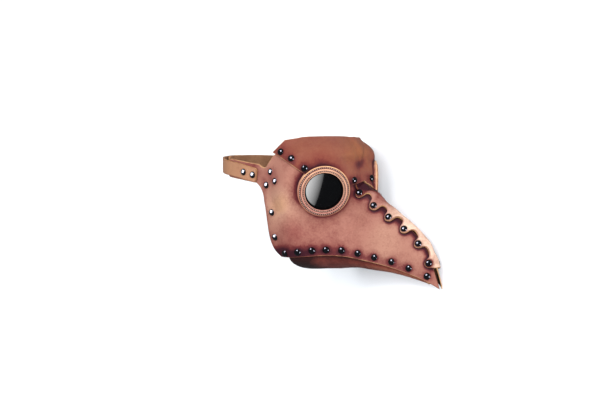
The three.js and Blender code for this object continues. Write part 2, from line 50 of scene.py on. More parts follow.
# Each half is laid out in a plane that faces this far round from straight ahead. A layout point
# is (h, z), and a ray square to the plane carries it onto the skin.
LAYOUT_TURN = math.radians(52)
LAYOUT_SIN = math.sin(LAYOUT_TURN)
LAYOUT_COS = math.cos(LAYOUT_TURN)

EYE = np.array([-27.6, 51.8, -11.0])
EYE_TURN = math.radians(42)
EYE_PITCH = math.radians(6)
SEAT_PITCH = {"right": math.radians(15), "left": math.radians(2)}
SEAT_FLAT = 41.0
SEAT_BLEND = {"right": 70.0, "left": 60.0}

NOSE_X = 5.0
BROW_LEAN = math.radians(36)
BROW_Z = 27.0
BROW_FOLLOW = 0.7
BROW_OVERHANG_Y = (6.0, 30.0)
FOREHEAD_LEAN = math.radians(38)
FOREHEAD_Z = 22.0
TEMPLE_Y = 87.0
TEMPLE_X = -55.0
TEMPLE_TAPER = 0.16
TEMPLE_LEVEL = 10.0           # the temples are straight up to this height and down to its negative
JAW_TAPER = 0.0021
CROWN_TAPER = 0.0016
FACE_SOFT = 17.0

RIDGE_POINTS = [(-34, 20), (0, -3), (26.2, -24), (56, -41.8), (87, -61.5), (108.7, -81.4),
                (119.8, -99), (126.8, -117), (132.3, -134), (137, -152)]
SHOULDER = (13.0, 9.0, 6.2)
SHOULDER_DEPTH = 8.0
FLARE = 0.17
FOLD_RADIUS = 4.0
BEAK_SOFT = 34.0
MIDDLE_BLEND = 18.0           # the sides blend within this distance of the middle

# The bridge of the nose is pressed in beside the rings
BRIDGE_DIP = 13.0
BRIDGE_Z = (-22.0, -4.0, 22.0, 44.0)
BRIDGE_X = (10.0, 26.0)
BRIDGE_Y = (30.0, 50.0)
BRIDGE_FROM_EYE = {"right": (36.0, 52.0), "left": (29.0, 56.0)}

# How the skin is searched for: rays start well outside it and go in
PROBE = 0.4
STEP_SHARE = 0.6
STEP_RANGE = (1.0, 60.0)
HALVINGS = 16
FAR_OUT = 220.0
FAR_REACH = 420.0
RIDGE_OUT = 40.0
RIDGE_REACH = 90.0
CURVE_SAMPLES = 201


def smooth_step(value, low, high):
    t = np.clip((value - low) / (high - low), 0, 1)
    return t * t * (3 - 2 * t)


def soft_max(a, b, k):
    t = np.maximum(k - np.abs(a - b), 0) / k
    return np.maximum(a, b) + t * t * k / 4


def soft_min(a, b, k):
    return -soft_max(-a, -b, k)


def lerp(a, b, t):
    return a + (b - a) * t


def unit(vectors):
    return vectors / np.linalg.norm(vectors, axis=-1, keepdims=True)


class Curve:
    """A smooth curve through points, read by its share of the length."""

    def __init__(self, points):
        self.points = np.array(points, float)
        samples = self.at(np.linspace(0, 1, CURVE_SAMPLES))
        steps = np.linalg.norm(np.diff(samples, axis=0), axis=1)
        self.walked = np.concatenate([[0], np.cumsum(steps)])
        self.length = self.walked[-1]

    def at(self, t):
        last = len(self.points) - 1
        place = last * np.asarray(t, float)
        i = np.clip(np.floor(place).astype(int), 0, last)
        w = (place - i)[..., None]
        p0 = self.points[np.maximum(i - 1, 0)]
        p1 = self.points[i]
        p2 = self.points[np.minimum(i + 1, last)]
        p3 = self.points[np.minimum(i + 2, last)]
        v0 = (p2 - p0) / 2
        v1 = (p3 - p1) / 2
        cubic = (2 * p1 - 2 * p2 + v0 + v1) * w ** 3
        return cubic + (3 * p2 - 3 * p1 - 2 * v0 - v1) * w ** 2 + v0 * w + p1

    def share_to_t(self, share):
        return np.interp(np.asarray(share, float) * self.length, self.walked,
                         np.linspace(0, 1, CURVE_SAMPLES))

    def along(self, share):
        return self.at(self.share_to_t(share))

    def spread(self, count, first=0, last=1):
        return self.along(np.linspace(first, last, count))

    def tangent(self, share):
        t = self.share_to_t(share)
        return unit(self.at(np.minimum(t + 1e-4, 1)) - self.at(np.maximum(t - 1e-4, 0)))


ridge_curve = Curve(RIDGE_POINTS)
ridge_line = ridge_curve.at(np.linspace(0, 1, 61))


def measure_ridge(x, z):
    """Depth below the ridge line in the side view, and the place along the ridge, 0 to 1."""
    best = np.full(x.shape, np.inf)
    along = np.zeros(x.shape)
    sign = np.ones(x.shape)
    for i in range(len(ridge_line) - 1):
        ax, az = ridge_line[i]
        dx, dz = ridge_line[i + 1] - ridge_line[i]
        t = np.clip(((x - ax) * dx + (z - az) * dz) / (dx * dx + dz * dz), 0, 1)
        ex = x - ax - t * dx
        ez = z - az - t * dz
        d = ex * ex + ez * ez
        near = d < best
        best = np.where(near, d, best)
        along = np.where(near, (i + t) / (len(ridge_line) - 1), along)
        sign = np.where(near, np.where(dx * ez - dz * ex > 0, -1, 1), sign)
    return np.sqrt(best) * sign, along


# The ridge is measured once on a grid, as most of the work below asks for it
TABLE_LOW = (-260.0, -260.0)
TABLE_SIZE = (560, 520)
TABLE_STEP = 1.0
table_x, table_z = np.meshgrid(TABLE_LOW[0] + TABLE_STEP * np.arange(TABLE_SIZE[0]),
                               TABLE_LOW[1] + TABLE_STEP * np.arange(TABLE_SIZE[1]), indexing="ij")
ridge_table = np.stack(measure_ridge(table_x, table_z), -1)


def ridge_depth(x, z):
    u = np.clip((x - TABLE_LOW[0]) / TABLE_STEP, 0, TABLE_SIZE[0] - 1.001)
    v = np.clip((z - TABLE_LOW[1]) / TABLE_STEP, 0, TABLE_SIZE[1] - 1.001)
    i = u.astype(int)
    j = v.astype(int)
    u = (u - i)[..., None]
    v = (v - j)[..., None]
    near = ridge_table[i, j] * (1 - v) + ridge_table[i, j + 1] * v
    far = ridge_table[i + 1, j] * (1 - v) + ridge_table[i + 1, j + 1] * v
    read = near * (1 - u) + far * u
    return read[..., 0], read[..., 1]


def leaning_plane(p, origin, turn, lean):
    flat = (p[..., 0] - origin[0]) * math.cos(turn) + (p[..., 1] - origin[1]) * math.sin(turn)
    return flat * math.cos(lean) + (p[..., 2] - origin[2]) * math.sin(lean)


def skin_field(points, side):
    """Zero on the skin of the mask and positive outside it. The two sides meet evenly."""
    own = half_field(points, side)
    near = np.abs(points[..., 1]) < MIDDLE_BLEND
    other = half_field(points[near], "left" if side == "right" else "right")
    share = smooth_step(np.abs(points[near][:, 1]), 0, MIDDLE_BLEND)
    own[near] = lerp((own[near] + other) / 2, own[near], share)
    return own


def half_field(points, side):
    """The field of one side, as if the other side were its mirror image."""
    p = points.copy()
    p[..., 1] = np.abs(p[..., 1])
    x, y, z = p[..., 0], p[..., 1], p[..., 2]
    cheek = leaning_plane(p, EYE, EYE_TURN, -EYE_PITCH)
    overhang = BROW_FOLLOW * math.tan(SEAT_PITCH[side]) * (BROW_Z - EYE[2])
    overhang = overhang * smooth_step(y, *BROW_OVERHANG_Y)
    brow = leaning_plane(p, (EYE[0], EYE[1], BROW_Z), EYE_TURN, BROW_LEAN)
    brow = brow - overhang * math.cos(BROW_LEAN)
    forehead = leaning_plane(p, (NOSE_X, 0, FOREHEAD_Z), 0, FOREHEAD_LEAN)
    low = np.minimum(0, z + TEMPLE_LEVEL)
    high = np.maximum(0, z - TEMPLE_LEVEL)
    width = TEMPLE_Y + TEMPLE_TAPER * (x - TEMPLE_X)
    width = width - JAW_TAPER * low ** 2 - CROWN_TAPER * high ** 2
    face = soft_max(cheek, brow, FACE_SOFT)
    face = soft_max(face, soft_max(x - NOSE_X, forehead, FACE_SOFT), FACE_SOFT)
    face = soft_max(face, y - width, FACE_SOFT)

    depth, along = ridge_depth(x, z)
    shoulder = np.interp(along, (0, 0.5, 1), SHOULDER)
    fall = np.exp(-depth / SHOULDER_DEPTH)
    half = shoulder * (1 - fall) + FLARE * depth
    slope = shoulder / SHOULDER_DEPTH * np.minimum(fall, 1) + FLARE
    flank = (np.hypot(y, FOLD_RADIUS) - FOLD_RADIUS - half) / np.hypot(1, slope)

    skin = soft_min(face, flank, BEAK_SOFT)
    seat = leaning_plane(p, EYE, EYE_TURN, -SEAT_PITCH[side])
    out = np.linalg.norm(p - EYE, axis=-1)
    radius = np.sqrt(np.maximum(0, out * out - seat * seat))
    weight = 1 - smooth_step(radius, SEAT_FLAT, SEAT_BLEND[side])
    inner = smooth_step(radius, *BRIDGE_FROM_EYE[side]) * (1 - smooth_step(y, *BRIDGE_Y))
    level = smooth_step(z, *BRIDGE_Z[:2]) * (1 - smooth_step(z, *BRIDGE_Z[2:]))
    dip = BRIDGE_DIP * inner * level * (1 - smooth_step(x, *BRIDGE_X))
    return lerp(skin, seat, weight) + dip


def skin_normals(points, side):
    grad = np.empty_like(points)
    for k in range(3):
        step = np.zeros(3)
        step[k] = PROBE
        grad[..., k] = skin_field(points + step, side) - skin_field(points - step, side)
    return unit(grad)


def cast(starts, inward, reach, side):
    """First points where rays from outside meet the skin: found in steps and then by halving."""
    starts = np.asarray(starts, float)
    inward = np.broadcast_to(inward, starts.shape)
    near = np.zeros(len(starts))
    far = np.full(len(starts), float(reach))
    alive = np.arange(len(starts))
    while len(alive):
        field = skin_field(starts[alive] + inward[alive] * near[alive, None], side)
        step = np.clip(field * STEP_SHARE, *STEP_RANGE)
        ahead = near[alive] + step
        met = skin_field(starts[alive] + inward[alive] * ahead[:, None], side) <= 0
        far[alive[met]] = ahead[met]
        alive = alive[~met & (ahead < reach)]
        near[alive] = ahead[~met & (ahead < reach)]
    for _ in range(HALVINGS):
        middle = (near + far) / 2
        outside = skin_field(starts + inward * middle[:, None], side) > 0
        near = np.where(outside, middle, near)
        far = np.where(outside, far, middle)
    return starts + inward * ((near + far) / 2)[:, None]


def skin_points(layout, side):
    """The skin points of layout points on one side of the mask."""
    layout = np.asarray(layout, float)
    hand = HAND[side]
    out = np.array([LAYOUT_COS, hand * LAYOUT_SIN, 0])
    flat = np.stack([layout[:, 0] * LAYOUT_SIN, -hand * layout[:, 0] * LAYOUT_COS, layout[:, 1]], 1)
    return cast(flat + out * FAR_OUT, -out, FAR_REACH, side)


def skin_at(layout, side):
    """The skin points of layout points, and the skin's normals there."""
    points = skin_points(layout, side)
    return points, skin_normals(points, side)


def layout_of(points):
    return np.stack([points[..., 0] * LAYOUT_SIN - np.abs(points[..., 1]) * LAYOUT_COS,
                     points[..., 2]], -1)


def eye_centre(side):
    return EYE * (1, HAND[side], 1)


def eye_axis(side):
    pitch = SEAT_PITCH[side]
    return np.array([math.cos(EYE_TURN) * math.cos(pitch),
                     HAND[side] * math.sin(EYE_TURN) * math.cos(pitch), -math.sin(pitch)])


def placement(point, outward):
    """Turns local +Z to outward and moves the origin to the point."""
    turn = Vector((0, 0, 1)).rotation_difference(Vector(outward))
    return Matrix.Translation(Vector(point)) @ turn.to_matrix().to_4x4()


# Outlines of the sheets in the layout

BOTTOM = Curve([(-110, -103), (-100, -103.5), (-77, -101.5), (-50, -100), (-25, -101), (-5, -104.5),
                (23, -110), (45, -116), (68, -124), (85, -131), (103, -141)])
REAR = Curve([(-110, -103), (-119, -94), (-125.5, -80), (-129.5, -57), (-132, -38), (-134.5, -22),
              (-134, 0), (-131, 19)])
CROWN = [(-131, 19), (-119, 37), (-105, 41), (-90, 34), (-78, 21), (-60, 6), (-42, 0), (-28, 2),
         (-18, 8), (-8, 9)]
TIP_EDGE = {"right": (94.3, -113), "left": (98.2, -113)}
TIP_THINNER = 1.5             # how much the leather is pared down at the tip
RIDGE_EDGE = {"from": 0.17, "to": 0.8, "away": 4.0}

BROW_BEHIND = [(-119.7, 39), (-110.5, 33.3), (-100, 26), (-89, 18.8), (-80, 12.5), (-68, 1)]
BROW_BOTTOM = {"right": [*BROW_BEHIND, (-54, -5), (-38, -6), (-26, -5), (-17, -3.5)],
               "left": [*BROW_BEHIND, (-54, -9), (-38, -15), (-26, -16), (-16, -11)]}
BROW_TOP = {"right": [(-104.5, 55), (-84, 57.5), (-60, 58.5), (-36, 58)],
            "left": [(-104.5, 50.5), (-84, 52), (-60, 53.5), (-36, 55)]}
BROW_MIDDLE = (-1.0, 56.5)    # heights of the middle line's ends
BROW_HOLE = {"right": 35.2, "left": 35.8}

FOREHEAD_RIVETS = [(-108.4, 39.5), (-95, 31), (-79.5, 20.4), (-15.6, 2.2)]
SEAM_RIVETS = [(-105.5, -98), (-88.4, -95.5), (-69, -93), (-50, -92), (-29, -92.4), (-7.3, -96),
               (15, -100.5), (38, -105.5), (61, -113.4), (85.6, -123.5)]
REAR_RIVETS = [(-124.9, 12.7), (-119, 0.6), (-130.5, -5.6), (-123.1, -42.4), (-118.9, -76.2)]


def frame_beside_ridge(share):
    p = ridge_curve.along(share)
    t = ridge_curve.tangent(share)
    up = np.stack([-t[..., 1], np.zeros(t.shape[:-1]), t[..., 0]], -1)
    core = np.stack([p[..., 0], np.zeros(p.shape[:-1]), p[..., 1]], -1)
    return core, up


def beside_ridge(shares, away, side):
    core, up = frame_beside_ridge(np.asarray(shares, float))
    return cast(core + up * RIDGE_OUT + (0, HAND[side] * away, 0), -up, RIDGE_REACH, side)


def middle_h(z):
    """Where the middle line of the mask lies in the layout, at heights z."""
    z = np.atleast_1d(np.asarray(z, float))
    starts = np.stack([np.full(z.shape, FAR_OUT), np.zeros(z.shape), z], 1)
    return cast(starts, np.array([-1.0, 0, 0]), FAR_REACH, "right")[:, 0] * LAYOUT_SIN


# The straps' way round the back, in plan

BAND_PATH = Curve([(-88, 80.4), (-112, 77.8), (-150, 73), (-185, 60), (-208, 36), (-221, 0)])
STRAP_RISE = 0.14
STRAP_Z = 5.0
TAB = {"from": 0.03, "to": 0.56, "half": 12.6, "flare": 4.0}
STRAP = {"from": 0.19, "half": 9.9, "thickness": 2.4, "overlap": 0.1}
STRAP_RIVETS = (0.228, 0.328)
BACK_RIVETS = (0.96, 1.04)
STRAP_SAG = {"depth": 2.6, "from": 0.19, "to": 0.44}    # the front end hangs a little lower
END_WIDTH = 0.55              # width of the blunt ends as a share of the full width


def band_frame(shares, side):
    """Points, outward sides and upper edges of the band at shares of its way. Beyond the middle
    of the back it follows the way of the other side."""
    shares = np.atleast_1d(np.asarray(shares, float))
    past = shares > 1
    share = np.where(past, 2 - shares, shares)
    hand = np.where(past, -HAND[side], HAND[side]).astype(float)
    p = BAND_PATH.along(share)
    t = BAND_PATH.tangent(share)
    along = unit(np.stack([t[:, 0], hand * t[:, 1], STRAP_RISE * (1 - share)], 1))
    outward = unit(np.stack([t[:, 1], hand * -t[:, 0], np.zeros(len(t))], 1))
    upward = unit(np.cross(along, outward))
    upward *= np.where(upward[:, 2:] < 0, -1, 1)
    climbed = STRAP_RISE * BAND_PATH.length * (share - share ** 2 / 2)
    point = np.stack([p[:, 0], hand * p[:, 1], STRAP_Z + climbed], 1)
    return point, outward, upward


def strap_sag(shares):
    return STRAP_SAG["depth"] * (1 - smooth_step(shares, STRAP_SAG["from"], STRAP_SAG["to"]))


def rounded_end(t, share):
    """Share of the full width near the end at t = 0, which is round over the given share."""
    k = np.clip(t / share, 0, 1)
    return END_WIDTH + (1 - END_WIDTH) * np.sqrt(1 - (1 - k) ** 2)


# Mesh code

SHEET_SPACING = 1.6
ROW_SHARE = 0.866             # distance between rows of triangles, as a share of the spacing
CLEARANCE = 0.55              # how near points come to an edge, as a share of the spacing
RIM_TURNS = (0.25, 0.6, 1.0)    # rows on a rounded edge, as shares of a quarter turn


def add_fields(mesh, fields):
    """Stores fields of one value per point, which the materials read."""
    for key, values in fields.items():
        layer = mesh.attributes.new(key, "FLOAT", "POINT")
        layer.data.foreach_set("value", np.asarray(values, np.float32))


def new_mesh(name, verts, faces, kinds=None, fields=None):
    """A smooth mesh, with a material number for each face and fields."""
    mesh = bpy.data.meshes.new(name)
    mesh.from_pydata(verts, [], faces)
    mesh.polygons.foreach_set("use_smooth", [True] * len(faces))
    if kinds is not None:
        mesh.polygons.foreach_set("material_index", kinds)
    add_fields(mesh, fields or {})
    return mesh


def new_object(name, data):
    made = bpy.data.objects.new(name, data)
    bpy.context.scene.collection.objects.link(made)
    return made


class Sheet:
    """Points of a sheet, moved along their normals by its waviness, and fields such as dye and
    painted shade.
    """

    def __init__(self, points, normals, faces, wave, **fields):
        self.points = points + normals * wave[:, None]
        self.normals = normals
        self.faces = faces
        self.fields = fields


def inside(loop, points):
    """Whether points lie in a closed outline, by counting crossings."""
    x, y = points[:, 0], points[:, 1]
    found = np.zeros(len(points), bool)
    a = loop
    b = np.roll(loop, -1, axis=0)
    for (ax, ay), (bx, by) in zip(a, b):
        if ay == by:
            continue
        crosses = (ay > y) != (by > y)
        found ^= crosses & (x < (bx - ax) * (y - ay) / (by - ay) + ax)
    return found


def distance_to(loop, points, closed=False):
    """Distance from points to a chain of straight pieces."""
    best = np.full(len(points), np.inf)
    last = len(loop) if closed else len(loop) - 1
    for i in range(last):
        a = loop[i]
        d = loop[(i + 1) % len(loop)] - a
        size = d @ d
        if size == 0:
            continue
        t = np.clip(((points - a) @ d) / size, 0, 1)
        gap = points - a - t[:, None] * d
        best = np.minimum(best, (gap ** 2).sum(1))
    return np.sqrt(best)


def evenly(loop, spacing, closed=True):
    """The same chain with points at an even spacing, corners kept roughly."""
    ends = np.vstack([loop, loop[:1]]) if closed else loop
    steps = np.linalg.norm(np.diff(ends, axis=0), axis=1)
    walked = np.concatenate([[0], np.cumsum(steps)])
    count = max(2, int(round(walked[-1] / spacing)))
    at = np.linspace(0, walked[-1], count + 1)
    if closed:
        at = at[:-1]
    return np.stack([np.interp(at, walked, ends[:, k]) for k in range(ends.shape[1])], 1)


def compact(faces, count):
    """Which of the points the faces use, and the faces with those points numbered anew."""
    used = np.unique(faces)
    renumber = np.full(count, -1)
    renumber[used] = np.arange(len(used))
    return used, renumber[faces]


def triangulate(outline, hole):
    """Triangles between an outline and a hole in the layout plane, with edges on both."""

    def keep(points):
        return inside(outline, points) & ~inside(hole, points)

    loops = [outline, hole]
    low = np.min([loop.min(0) for loop in loops], axis=0)
    high = np.max([loop.max(0) for loop in loops], axis=0)
    grid = []
    for k, y in enumerate(np.arange(low[1], high[1], SHEET_SPACING * ROW_SHARE)):
        xs = np.arange(low[0] + (k % 2) * SHEET_SPACING / 2, high[0], SHEET_SPACING)
        grid.append(np.stack([xs, np.full(len(xs), y)], 1))
    grid = np.vstack(grid)
    grid = grid[keep(grid)]
    for loop in loops:
        grid = grid[distance_to(loop, grid, closed=True) > SHEET_SPACING * CLEARANCE]
    points = []
    edges = []
    for loop in loops:
        first = len(points)
        points.extend(map(tuple, loop))
        edges.extend((first + i, first + (i + 1) % len(loop)) for i in range(len(loop)))
    points.extend(map(tuple, grid))
    made = delaunay_2d_cdt([Vector(p) for p in points], edges, [], 0, 1e-4)
    points = np.array([tuple(p) for p in made[0]])
    faces = np.array([f for f in made[2] if len(f) == 3])
    used, faces = compact(faces[keep(points[faces].mean(1))], len(points))
    return points[used], faces


def grid_faces(rows, cols):
    i, j = np.meshgrid(np.arange(rows - 1), np.arange(cols - 1), indexing="ij")
    a = (i * cols + j).ravel()
    return np.stack([a, a + cols, a + cols + 1, a + 1], 1)


def outward_faces(points, normals, faces):
    """The faces, turned so that they face the way of the normals. The quads of a grid all wind
    the same way, so they are turned together."""
    a, b, c = (points[faces[:, k]] for k in range(3))
    facing = (np.cross(b - a, c - a) * normals[faces].mean(1)).sum(1)
    if faces.shape[1] == 4:
        facing = np.full(len(faces), facing.sum())
    return np.where((facing < 0)[:, None], faces[:, ::-1], faces)


def make_shell(name, sheet, low, high, rounding):
    """A closed sheet of leather between two distances from the skin, with rounded cut edges.
    low and high are numbers or one value for each point."""
    points, normals = sheet.points, sheet.normals
    low = np.broadcast_to(np.asarray(low, float), len(points))
    high = np.broadcast_to(np.asarray(high, float), len(points))
    faces = outward_faces(points, normals, sheet.faces)
    sides = dict.fromkeys((face[k], face[(k + 1) % len(face)])
                          for face in faces for k in range(len(face)))
    rim = [(a, b) for a, b in sides if (b, a) not in sides]
    out = np.zeros_like(points)
    for a, b in rim:
        way = points[b] - points[a]
        way /= max(np.linalg.norm(way), 1e-9)
        out[a] += np.cross(way, normals[a])
        out[b] += np.cross(way, normals[b])
    border = np.unique(np.array(rim).ravel())
    out[border] /= np.maximum(np.linalg.norm(out[border], axis=1, keepdims=True), 1e-9)

    count = len(points)
    layers = [points + normals * high[:, None] - out * rounding,
              points + normals * low[:, None] - out * rounding]
    rings = []
    for level, way, turns in ((high, -1, RIM_TURNS), (low, 1, RIM_TURNS[::-1])):
        for share in turns:
            a = share * math.pi / 2
            lift = level[border] + way * rounding * (1 - math.cos(a))
            place = points[border] + out[border] * (rounding * (math.sin(a) - 1))
            rings.append(place + normals[border] * lift[:, None])
    verts = np.vstack(layers + rings)
    at = np.full(count, -1)
    at[border] = np.arange(len(border))
    row_starts = [2 * count + k * len(border) for k in range(len(rings))]

    def row_vertex(row, vertex):
        if row < 0:
            return vertex
        if row == len(rings):
            return vertex + count
        return row_starts[row] + at[vertex]

    polygons = [tuple(f) for f in faces] + [tuple(f[::-1] + count) for f in faces]
    kinds = [0] * len(faces) + [1] * len(faces)
    for a, b in rim:
        for row in range(-1, len(rings)):
            polygons.append((row_vertex(row, b), row_vertex(row, a),
                             row_vertex(row + 1, a), row_vertex(row + 1, b)))
            kinds.append(2)
    source = np.concatenate([np.arange(count), np.arange(count), np.tile(border, len(rings))])
    fields = {key: np.asarray(values)[source] for key, values in sheet.fields.items()}
    return new_mesh(name, verts.tolist(), [list(map(int, f)) for f in polygons], kinds, fields)


def waviness(points, size, height, seed):
    """Gentle unevenness of handled leather, one value for each point."""
    shift = Vector((seed * 17.3, seed * 5.1, seed * 9.7))
    return np.array([noise.noise(Vector(p) / size + shift) for p in points]) * height


# Where things are in the frame

def dome_centre_height(profile):
    """Height of the centre of a turned solid whose outline is given as (radius, height)."""
    slices = 40
    volume = 0.0
    moment = 0.0
    for (r0, z0), (r1, z1) in zip(profile, profile[1:]):
        for k in range(slices):
            r = lerp(r0, r1, (k + 0.5) / slices)
            z = lerp(z0, z1, (k + 0.5) / slices)
            slice_volume = r * r * (z1 - z0) / slices
            volume += slice_volume
            moment += slice_volume * z
    return moment / volume


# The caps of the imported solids, which are a little smaller than the caps made below
RIVET_RADIUS = 4.0
RIVET_HEIGHT = 2.8
CAD_DOME = [(0, 0), (RIVET_RADIUS, 0), (RIVET_RADIUS * 0.76, RIVET_HEIGHT * 0.72),
            (0, RIVET_HEIGHT)]
GAP = 0.3                     # air between pieces that lie on each other

# The strip in shares of the ridge and millimetres down the flank
STRIP = {"from": 0.142, "to": 0.838, "lobes": 6, "first": 0.211, "pitch": 0.1095,
         "growth": 0.0045, "rivet_reach": 12.0, "root_reach": 15.0, "tip_reach": 9.5}
FLANK_SHIFT = {"right": 0.0, "left": 5.0}    # the left flank's rivets sit a little lower
FLANK_SHARES = np.linspace(0.12, 0.87, 270)
FLANK_CORE = 26.0             # paths down a flank turn about a line this far under the ridge
FLANK_STEP = math.radians(3)
FLANK_STEPS = 41


def lobe_share(k):
    return STRIP["first"] + STRIP["pitch"] * k + STRIP["growth"] * k * (k - 1) / 2


def rivet_reach(share):
    """How far down the flank the rivets sit: closer to the ridge towards the tip."""
    length = lobe_share(STRIP["lobes"] - 1) - STRIP["first"]
    t = (np.asarray(share, float) - STRIP["first"]) / length
    return lerp(STRIP["root_reach"], STRIP["tip_reach"], t)


def down_flank(side):
    """Paths down one flank from the ridge: for each share, points and lengths walked."""
    core, up = frame_beside_ridge(FLANK_SHARES)
    core = core - up * FLANK_CORE
    aside = np.array([0, HAND[side], 0])
    path = []
    for k in range(FLANK_STEPS):
        a = k * FLANK_STEP
        d = up * math.cos(a) + aside * math.sin(a)
        path.append(cast(core + d * RIDGE_REACH, -d, RIDGE_REACH, side))
    path = np.stack(path, 1)
    steps = np.linalg.norm(np.diff(path, axis=1), axis=2)
    walked = np.concatenate([np.zeros((len(path), 1)), np.cumsum(steps, axis=1)], axis=1)
    return path, walked


flanks = {side: down_flank(side) for side in SIDES}


def on_flank(shares, lengths, side):
    """Points at the given lengths down a flank, one for each share."""
    path, walked = flanks[side]
    shares = np.asarray(shares, float)
    lengths = np.broadcast_to(lengths, shares.shape)
    place = np.interp(shares, FLANK_SHARES, np.arange(len(FLANK_SHARES)))
    first = np.minimum(place.astype(int), len(FLANK_SHARES) - 2)
    rest = (place - first)[:, None]

    def read(rows):
        return np.array([[np.interp(length, walked[row], path[row, :, k]) for k in range(3)]
                         for row, length in zip(rows, lengths)])

    points = read(first) * (1 - rest) + read(first + 1) * rest
    for _ in range(2):
        points = points - skin_normals(points, side) * skin_field(points, side)[:, None]
    return points


def seats(name, points, outward, lift):
    """Name, seat and outward direction of a row of rivets."""
    return [(f"{name}_{k + 1}", p + n * lift, n) for k, (p, n) in enumerate(zip(points, outward))]


def rivet_places():
    """The seats of all rivets that are nodes of their own."""
    places = []
    for side in SIDES:
        for name, layout, lift in (("forehead", FOREHEAD_RIVETS, UPPER + 2 * GAP),
                                   ("seam", SEAM_RIVETS, GAP)):
            places += seats(f"rivet_{name}_{side}", *skin_at(layout, side), lift)
        shares = np.array([lobe_share(k) for k in range(STRIP["lobes"])])
        points = on_flank(shares, rivet_reach(shares) + FLANK_SHIFT[side], side)
        places += seats(f"rivet_ridge_{side}", points, skin_normals(points, side), UPPER + GAP)
        points, outward, _ = band_frame(STRAP_RIVETS, side)
        places += seats(f"rivet_strap_{side}", points, outward, STRAP["thickness"] + 2 * GAP)
    points, outward, _ = band_frame(BACK_RIVETS, "right")
    lift = 2 * STRAP["thickness"] + 2 * GAP + UPPER_LOW
    return places + seats("rivet_strap_back", points, outward, lift)


def volume_centre(node):
    """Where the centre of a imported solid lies, in metres."""
    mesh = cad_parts[node].data
    mesh.calc_loop_triangles()
    co = np.array([v.co for v in mesh.vertices])
    triangles = np.array([t.vertices for t in mesh.loop_triangles])
    middle = co.mean(0)
    a, b, c = (co[triangles[:, k]] - middle for k in range(3))
    volume = (a * np.cross(b, c)).sum(1) / 6
    return middle + ((a + b + c) * volume[:, None]).sum(0) / 4 / volume.sum()


def lying_from_worn(places):
    """The rigid move, with millimetres turned to metres, that lays the worn mask down as the
    frame has it: the one that brings the given rivets to their nodes."""
    height = dome_centre_height(CAD_DOME)
    worn = np.array([(p + n * height) / 1000 for _, p, n in places])
    lying = np.array([volume_centre(name) for name, _, _ in places])
    a = worn - worn.mean(0)
    b = lying - lying.mean(0)
    u, _, vt = np.linalg.svd(a.T @ b)
    fix = np.diag([1, 1, np.sign(np.linalg.det(vt.T @ u.T))])
    turn = vt.T @ fix @ u.T
    move = lying.mean(0) - turn @ worn.mean(0)
    print("rivets fit the frame within mm:",
          round(1000 * np.abs(worn @ turn.T + move - lying).max(), 3))
    matrix = Matrix(turn.tolist()).to_4x4()
    matrix.translation = Vector(move)
    return matrix @ Matrix.Scale(0.001, 4)


def with_sag(places):
    """The rivets, with those at the straps' front ends lowered with the straps."""
    sags = dict(zip("12", strap_sag(np.array(STRAP_RIVETS))))
    moved = []
    for name, point, outward in places:
        if name.startswith(("rivet_strap_right", "rivet_strap_left")):
            point = point - np.array([0, 0, sags[name[-1]]])
        moved.append((name, point, outward))
    return moved


cad_rivets = rivet_places()
LYING = lying_from_worn([place for place in cad_rivets if place[0].startswith("rivet_strap")])
rivets = with_sag(cad_rivets)


def add_piece(name, mesh, slot, *nodes, place=None):
    """Lays a mesh down with the frame and adds it as a piece that takes over the named nodes."""
    mesh.transform(LYING @ place if place else LYING)
    for vertex in mesh.vertices:
        vertex.co.z = max(vertex.co.z, 0.0)    # leather rests on the floor, not in it
    piece = new_object(name, mesh)
    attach(piece, "root")
    if nodes:
        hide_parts(*nodes)
    return piece


# Materials

